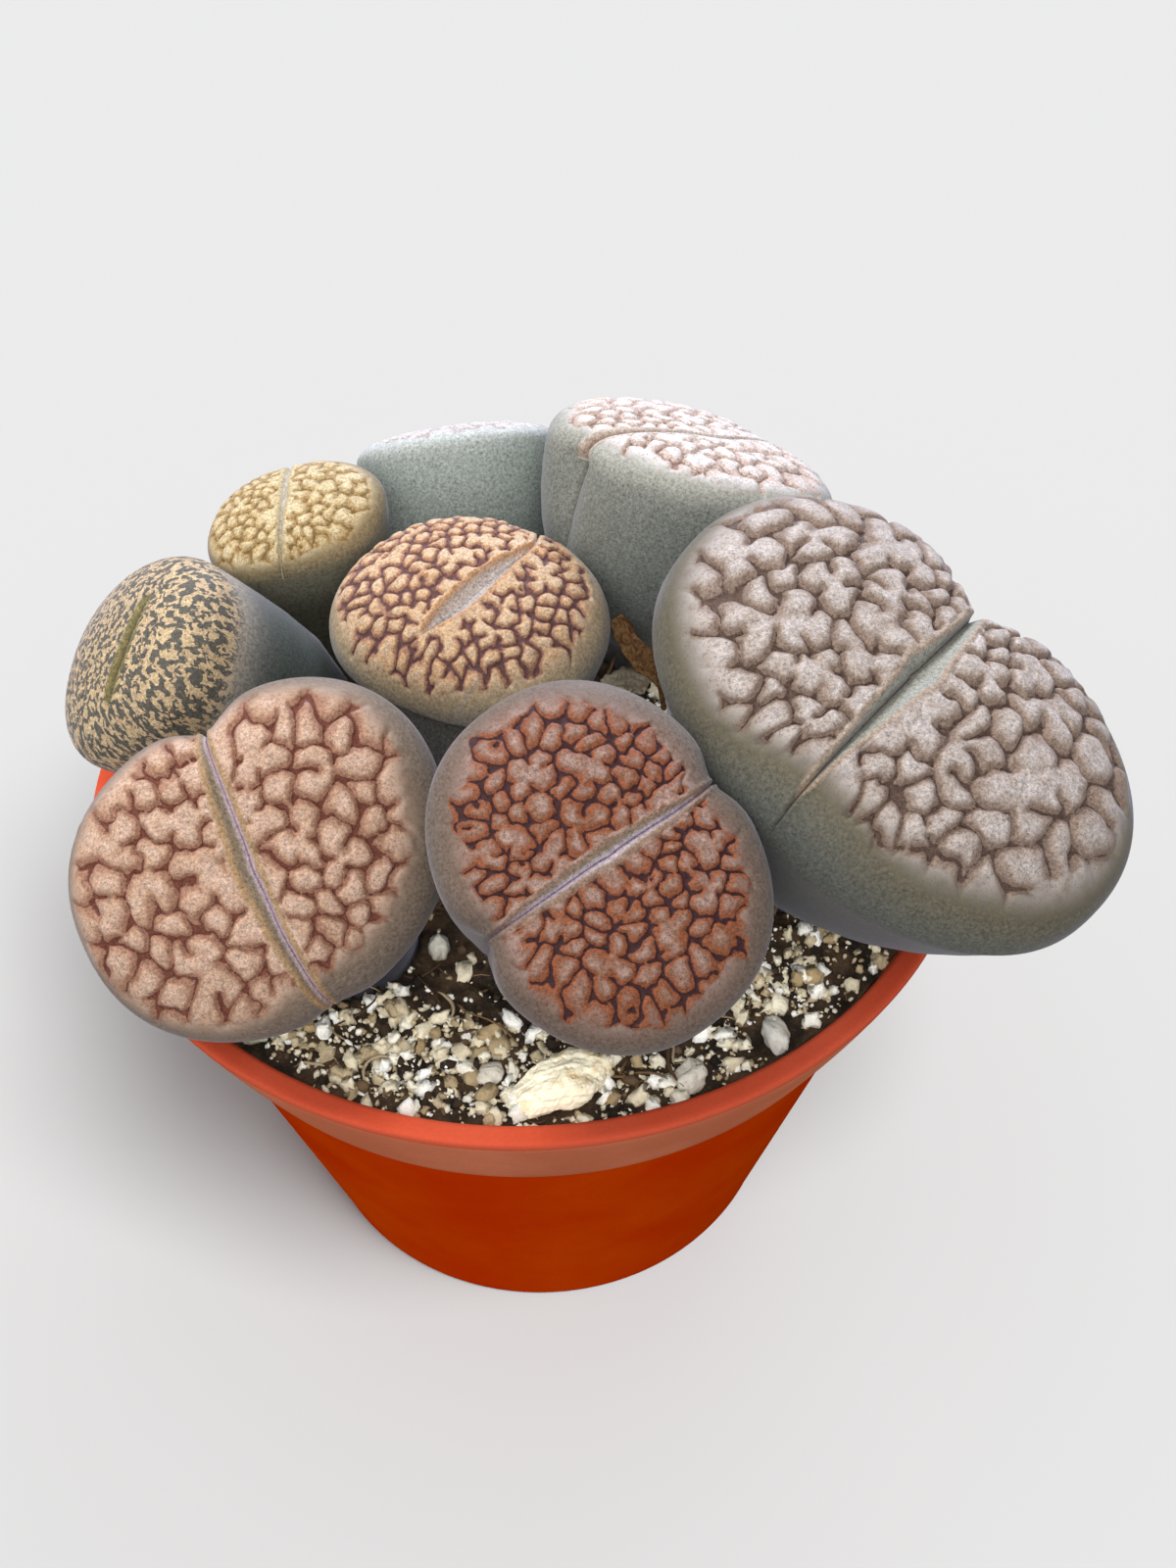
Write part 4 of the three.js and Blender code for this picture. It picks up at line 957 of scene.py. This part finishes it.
def cut_drains(piece):
    cutters = []
    for k in range(DRAIN_COUNT):
        a = 2 * math.pi * (k + 0.25) / DRAIN_COUNT
        bpy.ops.mesh.primitive_cylinder_add(
            vertices=DRAIN_SIDES, radius=DRAIN_RADIUS * MM, depth=8 * MM,
            location=(DRAIN_CIRCLE * math.cos(a) * MM, DRAIN_CIRCLE * math.sin(a) * MM, 1 * MM))
        cutters.append(bpy.context.object)
        cut = piece.modifiers.new("drain", "BOOLEAN")
        cut.operation = "DIFFERENCE"
        cut.solver = "EXACT"
        cut.object = cutters[-1]
    graph = bpy.context.evaluated_depsgraph_get()
    made = bpy.data.meshes.new_from_object(piece.evaluated_get(graph))
    piece.modifiers.clear()
    piece.data = made
    piece.data.name = piece.name
    for cutter in cutters:
        bpy.data.objects.remove(cutter)


def pot_piece():
    """One moulding: tapered wall, collar band, rounded rim and drain holes."""
    def near(radius, level, offsets):
        return [(radius + out, level + up) for out, up in offsets]

    foot = near(BASE_RADIUS, 0, ((-1.2, 0.0), (-0.5, 0.12), (-0.05, 0.55), (0.12, 1.0)))
    wall = [
        (BASE_RADIUS + (WALL_TOP_RADIUS - BASE_RADIUS) * t, 0.8 + (COLLAR_BOTTOM_Z - 1.5) * t)
        for t in np.arange(1, POT_WALL_STEPS) / POT_WALL_STEPS
    ]
    step = near(WALL_TOP_RADIUS, COLLAR_BOTTOM_Z, ((-0.05, -0.35), (0.25, -0.12)))
    step += near(COLLAR_BOTTOM_RADIUS, COLLAR_BOTTOM_Z, ((-0.3, -0.05), (0, 0.25)))
    collar = [
        (COLLAR_BOTTOM_RADIUS + (RIM_RADIUS - COLLAR_BOTTOM_RADIUS) * t + 0.15 * math.sin(math.pi * t),
         COLLAR_BOTTOM_Z + 0.25 + (POT_HEIGHT - COLLAR_BOTTOM_Z - 1.1) * t)
        for t in np.arange(1, COLLAR_STEPS) / COLLAR_STEPS
    ]
    rim = near(RIM_RADIUS, POT_HEIGHT, ((0.02, -0.7), (0.05, -0.4), (-0.06, -0.12), (-0.3, 0), (-0.8, -0.02)))
    rim += near(RIM_INNER, POT_HEIGHT, ((0.7, -0.02), (0.3, -0.08), (0.08, -0.3), (0, -0.7), (-0.6, -2.6)))
    inside = [(WALL_TOP_RADIUS - WALL_THICKNESS, COLLAR_BOTTOM_Z)]
    inside += near(BASE_RADIUS - WALL_THICKNESS, FLOOR_THICKNESS, ((0.9, 0.6), (0.2, 0)))
    piece = lathe("pot_shell", foot + wall + step + collar + rim + inside, 0.35, FLOOR_THICKNESS)
    cut_drains(piece)
    return piece


def pot_paint():
    """Moulded terracotta-coloured plastic: brick-red rim, dusty collar, deep orange body."""
    p = Paint("pot_plastic")
    z = p.node("SeparateXYZ", "Z", ((0, p.where),))
    broad = p.noise(14.0, 3.0)
    grain = p.noise(0.5, 3.0, 0.6)
    fine = p.noise(0.18, 2.0, 0.7)
    body = p.mix(p.span(broad, 0.25, 0.8), (190, 48, 1), (198, 66, 2))
    collar = p.mix(p.span(broad, 0.35, 0.7), (204, 116, 84), (218, 130, 96))
    rim = p.mix(p.span(broad, 0.35, 0.7), (208, 82, 54), (222, 94, 66))
    base = p.mix(p.span(z, (COLLAR_BOTTOM_Z - 0.35) * MM, (COLLAR_BOTTOM_Z - 0.1) * MM), body, collar)
    base = p.mix(p.span(z, (POT_HEIGHT - 1.1) * MM, (POT_HEIGHT - 0.6) * MM), base, (204, 88, 62))
    base = p.mix(p.span(z, (POT_HEIGHT - 0.16) * MM, (POT_HEIGHT - 0.04) * MM), base, rim)
    both = p.plus(grain, fine)
    base = p.mix(1.0, base, p.plus(0.8, p.times(both, 0.2)), "MULTIPLY")
    rough = p.span(grain, 0.3, 0.7, 0.42, 0.56)
    return p.finish(base, rough, p.bump(both, 0.18, 0.1), 0.0)


def bed_level(x, y):
    """Height of the soil, with its beds for stones and its hollows for roots."""
    low = 0.42 * bumps(x * 0.21, y * 0.23, 0.4) + 0.3 * bumps(x * 0.62 + 3, y * 0.58, 1.7)
    rough = 0.9 * ripple(x, y, 2.1, SOIL_SEED) + 0.6 * ripple(x, y, 0.8, SOIL_SEED + 1)
    z = SOIL_Z + low + rough + 0.35 * ripple(x, y, 0.35, SOIL_SEED + 2)
    for stone in STONES:
        away = np.hypot(x - stone.at[0], y - stone.at[1]) - stone.size[0] / 2
        z = np.where(away < 1.2, np.minimum(z, stone.bed + 0.2 + 0.5 * np.maximum(0, away)), z)
    for plant in PLANTS:
        away = np.hypot(x - plant.root[0], y - plant.root[1]) - plant.root_radius - HOLE_CLEARANCE
        sunk = SOIL_Z - 0.1 + 0.3 * ripple(x, y, 1, SOIL_SEED + 3)
        z = np.where(away < 3, np.minimum(z, sunk), z)
        z = np.where(away < 0, HOLE_BOTTOM_Z, z)
    return z


def soil_bed():
    """The soil's crumbled surface, closed below by a plain wall and floor inside the pot."""
    radii = SOIL_EDGE * np.sqrt(np.linspace(0, 1, SOIL_RINGS + 1)[1:] ** 1.35)
    top = np.concatenate([np.zeros((1, 3))] + [circle(radius, 0, SOIL_SIDES) for radius in radii])
    top[:, 2] = bed_level(top[:, 0], top[:, 1])
    floor_z = FLOOR_THICKNESS + 0.35
    wall = circle(WALL_TOP_RADIUS - WALL_THICKNESS - 0.45, COLLAR_BOTTOM_Z, SOIL_SIDES)
    floor = circle(BASE_RADIUS - WALL_THICKNESS + 0.05, floor_z, SOIL_SIDES)
    ring = 1 + np.arange(SOIL_SIDES)
    faces = [fan(0, ring, np.roll(ring, -1))]
    for _ in range(SOIL_RINGS + 1):
        faces.append(band(ring, ring + SOIL_SIDES))
        ring = ring + SOIL_SIDES
    faces.append(fan(ring[-1] + 1, np.roll(ring, -1), ring))
    return mesh_piece("soil_bed", np.concatenate([top, wall, floor, [[0, 0, floor_z]]]), faces)


def ball(level):
    """Places and faces of a ball made of small triangles."""
    g = (1 + math.sqrt(5)) / 2
    p = [(-1, g, 0), (1, g, 0), (-1, -g, 0), (1, -g, 0), (0, -1, g), (0, 1, g), (0, -1, -g), (0, 1, -g),
         (g, 0, -1), (g, 0, 1), (-g, 0, -1), (-g, 0, 1)]
    f = [(0, 11, 5), (0, 5, 1), (0, 1, 7), (0, 7, 10), (0, 10, 11), (1, 5, 9), (5, 11, 4), (11, 10, 2),
         (10, 7, 6), (7, 1, 8), (3, 9, 4), (3, 4, 2), (3, 2, 6), (3, 6, 8), (3, 8, 9), (4, 9, 5), (2, 4, 11),
         (6, 2, 10), (8, 6, 7), (9, 8, 1)]
    p = [np.array(q) / np.linalg.norm(q) for q in p]
    for _ in range(level):
        made = {}
        new = []

        def middle(i, j):
            key = (min(i, j), max(i, j))
            if key not in made:
                q = p[i] + p[j]
                p.append(q / np.linalg.norm(q))
                made[key] = len(p) - 1
            return made[key]

        for i, j, k in f:
            a, b, c = middle(i, j), middle(j, k), middle(k, i)
            new += [(i, a, c), (j, b, a), (k, c, b), (a, b, c)]
        f = new
    return np.array(p), np.array(f)


def random_turns(rng, count):
    q = rng.standard_normal((count, 4))
    q /= np.linalg.norm(q, axis=1)[:, None]
    w, x, y, z = q.T
    return np.stack([
        np.stack([1 - 2 * (y * y + z * z), 2 * (x * y - z * w), 2 * (x * z + y * w)], -1),
        np.stack([2 * (x * y + z * w), 1 - 2 * (x * x + z * z), 2 * (y * z - x * w)], -1),
        np.stack([2 * (x * z - y * w), 2 * (y * z + x * w), 1 - 2 * (x * x + y * y)], -1),
    ], 1)


def open_places(rng, count, least, clump=None):
    """Places on the soil clear of roots and stones, gathered in clumps."""
    found = []
    while len(found) < count:
        r = GRAIN_RADIUS * math.sqrt(rng.random())
        a = 2 * math.pi * rng.random()
        x, y = r * math.cos(a), r * math.sin(a)
        if any(math.hypot(x - s.root[0], y - s.root[1]) < s.root_radius + least for s in PLANTS):
            continue
        if any(math.hypot(x - s.at[0], y - s.at[1]) < s.size[1] * 0.55 + 0.4 * least for s in STONES):
            continue
        if clump and rng.random() > clump(x, y):
            continue
        found.append((x, y))
    return np.array(found)


def pale_clump(x, y):
    """Chance of a pale grain: patchy, higher at the open front."""
    patch = float(value_noise(np.array([x / 5.0 + 20]), np.array([y / 5.0 + 20]), CLUMP_SEED)[0])
    front = math.exp(-(((x + 11) / 11) ** 2) - (((y + 34) / 9) ** 2))
    seen = 1.0 if math.hypot(x, y) > 33 and y < 0 else 0.2
    return seen * min(1.0, 0.45 + 0.5 * max(0.0, patch - 0.4) * 2 + 0.8 * front)


def crumbs(spec):
    """Many small rough lumps on the soil, as one piece."""
    rng = np.random.default_rng(spec.seed)
    count = spec.count
    base, tri = ball(spec.fine)
    at = open_places(rng, count, 0.9, pale_clump if spec.clumped else None)
    least, most = spec.sizes
    size = least + (most - least) * rng.random(count) ** 2.2
    shape = 1 + spec.rough * (rng.random((count, len(base))) - 0.5)
    x, y, z = (base * 1.9).T[:, None, :]
    shape = shape + 0.22 * bumps(x + 7 * rng.random((count, 1)), y, z)
    stretch = np.stack([
        0.8 + 0.6 * rng.random(count), 0.6 + 0.4 * rng.random(count),
        spec.flat[0] + spec.flat[1] * rng.random(count)], -1)
    lumps = base[None] * shape[..., None] * stretch[:, None, :] * (size / 2)[:, None, None]
    lumps = np.einsum("nij,nkj->nki", random_turns(rng, count), lumps)
    level = np.maximum(bed_level(*at.T), SOIL_Z - 1.2) + size * (0.5 - spec.sink)
    lumps += np.column_stack([at, level])[:, None, :]
    faces = (tri[None] + (np.arange(count) * len(base))[:, None, None]).reshape(-1, 3)
    tone = np.repeat(rng.random(count), len(base))
    return mesh_piece(spec.name, lumps.reshape(-1, 3), [faces], {"tone": tone})


def thread_line(rng, x, y):
    """Places along one thread that wanders over the soil, and its half thickness."""
    steps = THREAD_STEPS
    heading = 2 * math.pi * rng.random()
    bend = rng.normal(0, 0.5)
    length = 1.6 + 6.5 * rng.random() ** 2
    half = 0.05 + 0.11 * rng.random() ** 2
    ground = float(bed_level(np.array([x]), np.array([y]))[0])
    z = max(ground, SOIL_Z - 1) + 0.25 + 0.5 * rng.random()
    rise = rng.normal(0, 0.18)
    line = []
    for i in range(steps + 1):
        line.append((x, y, z))
        heading += bend / steps * 2 + rng.normal(0, 0.12)
        x += length / steps * math.cos(heading)
        y += length / steps * math.sin(heading)
        z += rise * length / steps * (1 - 2 * i / steps)
    return np.array(line), half


def directions(line):
    way = np.gradient(line, axis=0)
    return way / np.linalg.norm(way, axis=1)[:, None]


def fibres(name, seed, count):
    """Thin bent threads of peat and root."""
    rng = np.random.default_rng(seed)
    places, faces, tone = [], [], []
    total = 0
    around = np.arange(THREAD_SIDES) * 2 * math.pi / THREAD_SIDES
    taper = np.clip(1.15 - np.abs(np.linspace(-1, 1, THREAD_STEPS + 1)) ** 3, 0.2, 1)
    for x, y in open_places(rng, count, 1.2):
        line, half = thread_line(rng, x, y)
        if np.hypot(line[:, 0], line[:, 1]).max() > THREAD_RADIUS:
            continue
        way = directions(line)
        side = np.cross(way, (0, 0, 1.0))
        side /= np.linalg.norm(side, axis=1)[:, None]
        up = np.cross(side, way)
        tube = line[:, None] + (half * taper)[:, None, None] * (
            np.cos(around)[None, :, None] * side[:, None] * 1.5 + np.sin(around)[None, :, None] * up[:, None])
        places.append(tube.reshape(-1, 3))
        ring = total + np.arange(THREAD_SIDES)
        end = ring + THREAD_STEPS * THREAD_SIDES
        for _ in range(THREAD_STEPS):
            faces.append(band_reversed(ring, ring + THREAD_SIDES))
            ring = ring + THREAD_SIDES
        faces.append(np.arange(total, total + THREAD_SIDES)[None, ::-1])
        faces.append(end[None])
        total = end[-1] + 1
        tone.append(np.full(len(tube) * THREAD_SIDES, rng.random()))
    return mesh_piece(name, np.concatenate(places), [np.concatenate(faces)], {"tone": np.concatenate(tone)})


def peat_paint():
    p = Paint("soil_peat")
    broad = p.noise(2.6, 4.0, 0.6)
    fine = p.noise(0.5, 4.0, 0.65)
    base = p.mix(p.span(broad, 0.35, 0.7), (34, 27, 21), (78, 60, 44))
    base = p.mix(p.span(fine, 0.55, 0.8), base, (104, 82, 58))
    return p.finish(base, 0.9, p.bump(p.plus(fine, broad), 0.8, 0.5), 0.25)


def crumb_paint(name, dark, middle, pale, rough=0.88):
    p = Paint(name)
    tone = p.value("tone")
    both = p.plus(p.noise(0.4, 4.0, 0.65), p.noise(1.1, 3.0))
    base = p.mix(p.span(tone, 0.0, 0.55), dark, middle)
    base = p.mix(p.span(tone, 0.55, 1.0), base, pale)
    base = p.mix(1.0, base, p.plus(0.55, p.times(both, 0.45)), "MULTIPLY")
    return p.finish(base, rough, p.bump(both, 0.7, 0.3), 0.3)


def stone_piece(spec):
    """A rounded lump with dents of three sizes, flattened where it lies on its bed."""
    base, tri = ball(spec.fine)
    x, y, z = base.T
    seed = spec.seed
    dent = 1 + 0.13 * bumps(2.1 * x + seed, 2.1 * y, 2.1 * z)
    dent = dent + 0.05 * bumps(5.3 * x + 2, 5.3 * y + seed, 5.3 * z)
    dent = dent + 0.025 * bumps(13.1 * x + 2, 12.3 * y + seed, 14.3 * z)
    x, y, z = (base * dent[:, None] * np.array(spec.size) / 2).T
    a = math.radians(spec.turn)
    low = -0.3 * spec.size[2]
    z = np.where(z < low, low + 0.15 * (z - low), z)
    turned = [x * math.cos(a) - y * math.sin(a), x * math.sin(a) + y * math.cos(a), z]
    middle = np.array([*spec.at, spec.bed + 0.3 + 0.3 * spec.size[2]])
    return mesh_piece(spec.name + "_lump", np.stack(turned, -1) + middle, [tri])


def stone_paint(spec):
    p = Paint(spec.name + "_paint")
    broad = p.noise(3.0, 3.0)
    fine = p.noise(0.45, 4.0, 0.65)
    pits = p.span(p.cells(0.9), 0.08, 0.3)
    base = p.mix(p.span(broad, 0.48, 0.68), spec.pale, spec.stain)
    base = p.mix(p.times(p.span(fine, 0.5, 0.8), 0.4), base, spec.dark)
    return p.finish(base, 0.86, p.bump(p.plus(fine, p.times(pits, 0.5)), 0.6, 0.3), 0.3)


def sheath_line(path):
    """Smooth line through the path's knots."""
    knots = np.array(path, dtype=float)
    pts = np.vstack([2 * knots[0] - knots[1], knots, 2 * knots[-1] - knots[-2]])
    line = []
    for i in range(SHEATH_STEPS + 1):
        t = i / SHEATH_STEPS * (len(knots) - 1)
        k = min(int(t), len(knots) - 2)
        f = t - k
        a, b, c, d = pts[k:k + 4]
        bend = (2 * a - 5 * b + 4 * c - d) * f * f + (3 * b - a - 3 * c + d) * f**3
        line.append(0.5 * (2 * b + (c - a) * f + bend))
    return np.array(line)


def sheath_piece(spec):
    """Thin dry strip that follows a curled path, with creases along it."""
    line = sheath_line(spec.path)
    across = np.linspace(-1, 1, SHEATH_COLUMNS + 1)
    thin = spec.thickness / 2 * (1 - 0.5 * across**2)
    rows = []
    for i, way in enumerate(directions(line)):
        t = i / SHEATH_STEPS
        wide = turn_about(way, spec.twist * t, spec.wide)
        wide = wide - way * np.dot(wide, way)
        wide /= np.linalg.norm(wide)
        thick = np.cross(way, wide)
        half = spec.width / 2 * (0.55 + 0.45 * math.sin(math.pi * (0.15 + 0.75 * t)))
        half *= 1 + 0.1 * math.sin(17 * t) + 0.06 * math.sin(41 * t + 1)
        fold = spec.cup * half * across**2 + 0.09 * np.sin(across * 9 + 3 * t)
        fold = fold + 0.12 * math.sin(9 * t) * across
        mid = line[i] + half * across[:, None] * wide + fold[:, None] * thick
        rows.append(np.concatenate([mid + thin[:, None] * thick, (mid - thin[:, None] * thick)[::-1]]))
    rows = np.array(rows)
    index = np.arange(rows.shape[0] * rows.shape[1]).reshape(rows.shape[:2])
    beside = np.roll(index, -1, axis=1)
    faces = [np.stack([index[:-1], index[1:], beside[1:], beside[:-1]], -1).reshape(-1, 4)]
    columns = len(across)
    for row, turn in ((index[0], 1), (index[-1], -1)):
        top, under = row[:columns], row[::-1][:columns]
        faces.append(np.stack([top[:-1], top[1:], under[1:], under[:-1]], -1)[:, ::turn])
    return mesh_piece(spec.name + "_strip", rows.reshape(-1, 3), faces)


def sheath_paint(spec):
    p = Paint(spec.name + "_paint")
    streak = p.noise(0.9, 4.0, 0.6, 1.2)
    fine = p.noise(0.3, 3.0, 0.6)
    base = p.mix(p.span(streak, 0.35, 0.7), spec.dark, spec.pale)
    base = p.mix(p.times(p.span(fine, 0.4, 0.8), 0.4), base, spec.dark)
    return p.finish(base, 0.75, p.bump(p.plus(fine, streak), 0.6, 0.3), 0.3)


def aim_camera():
    camera = bpy.data.objects.new("camera", bpy.data.cameras.new("camera"))
    bpy.context.scene.collection.objects.link(camera)
    ahead = Vector((0, math.cos(CAMERA_ELEVATION), -math.sin(CAMERA_ELEVATION)))
    right = Vector((1, 0, 0))
    up = right.cross(ahead)
    c, s = math.cos(CAMERA_ROLL), math.sin(CAMERA_ROLL)
    right, up = right * c + up * s, up * c - right * s
    turn = Matrix((right, up, -ahead)).transposed()
    camera.matrix_world = Matrix.Translation(Vector(CAMERA_PLACE)) @ turn.to_4x4()
    camera.data.lens = CAMERA_LENS
    camera.data.clip_start = 0.01
    camera.data.clip_end = 20
    bpy.context.scene.camera = camera
    bpy.context.scene.view_settings.view_transform = "Standard"


def lay_floor():
    """The floor, and the collections that say which lamps light it."""
    w = FLOOR_HALF
    mesh = bpy.data.meshes.new("floor")
    mesh.from_pydata([(-w, -w, 0), (w, -w, 0), (w, w, 0), (-w, w, 0)], [], [(0, 1, 2, 3)])
    mesh.materials.append(Paint("floor_paper").finish((150, 150, 150), 0.9, None, 0.0))
    floor = bpy.data.objects.new("floor", mesh)
    bpy.context.scene.collection.objects.link(floor)
    floor.visible_diffuse = False
    floor.visible_glossy = False
    for name in ("floor_only", "all_but_floor"):
        bpy.data.collections.new(name).objects.link(floor)
    bpy.data.collections["all_but_floor"].collection_objects[0].light_linking.link_state = "EXCLUDE"


def light_world():
    """Soft light from all round, stronger from above, behind a plain grey backdrop."""
    world = bpy.data.worlds.new("studio")
    bpy.context.scene.world = world
    world.use_nodes = True
    nodes, links = world.node_tree.nodes, world.node_tree.links
    sky = nodes["Background"]
    where = nodes.new("ShaderNodeSeparateXYZ")
    links.new(nodes.new("ShaderNodeTexCoord").outputs["Generated"], where.inputs[0])
    height = nodes.new("ShaderNodeMapRange")
    links.new(where.outputs["Z"], height.inputs["Value"])
    for name, value in (("From Min", -0.15), ("From Max", 0.35), ("To Min", 0.25), ("To Max", 0.43)):
        height.inputs[name].default_value = value
    links.new(height.outputs["Result"], sky.inputs["Strength"])
    sky.inputs["Color"].default_value = (0.98, 0.99, 1.0, 1)
    backdrop = nodes.new("ShaderNodeBackground")
    backdrop.inputs["Color"].default_value = (0.8, 0.8, 0.8, 1)
    seen = nodes.new("ShaderNodeMixShader")
    rays = nodes.new("ShaderNodeLightPath").outputs["Is Camera Ray"]
    for k, output in enumerate((rays, sky.outputs[0], backdrop.outputs[0])):
        links.new(output, seen.inputs[k])
    links.new(seen.outputs[0], nodes["World Output"].inputs["Surface"])


def hang_sun(name, towards, energy, angle, tint, receivers, shadow):
    lamp = bpy.data.lights.new(name, "SUN")
    lamp.energy = energy
    lamp.angle = math.radians(angle)
    lamp.color = tint
    lamp.use_shadow = shadow
    holder = bpy.data.objects.new(name, lamp)
    holder.rotation_euler = Vector(towards).to_track_quat("-Z", "Y").to_euler()
    holder.light_linking.receiver_collection = bpy.data.collections[receivers]
    bpy.context.scene.collection.objects.link(holder)


aim_camera()
lay_floor()
light_world()
for sun in SUNS:
    hang_sun(*sun)
for plant in PLANTS:
    place_piece(lithops(plant), plant.name, plant.slot, skin(plant))
place_piece(pot_piece(), "pot", "pot", pot_paint())
place_piece(soil_bed(), "soil", "soil", peat_paint())

grain_paints = {
    "dark": crumb_paint("soil_crumbs", (22, 17, 13), (58, 43, 30), (104, 84, 62)),
    "pale": crumb_paint("soil_perlite", (166, 144, 108), (226, 216, 190), (250, 249, 244)),
}
for grain in GRAINS:
    place_piece(crumbs(grain), None, "soil", grain_paints[grain.paint])
thread_paint = crumb_paint("soil_threads", (60, 42, 28), (120, 92, 62), (176, 158, 128), 0.7)
place_piece(fibres("soil_threads", 54, THREAD_COUNT), None, "soil", thread_paint)

for stone in STONES:
    place_piece(stone_piece(stone), stone.name, "stone", stone_paint(stone))
for sheath in SHEATHS:
    place_piece(sheath_piece(sheath), sheath.name, "sheath", sheath_paint(sheath))
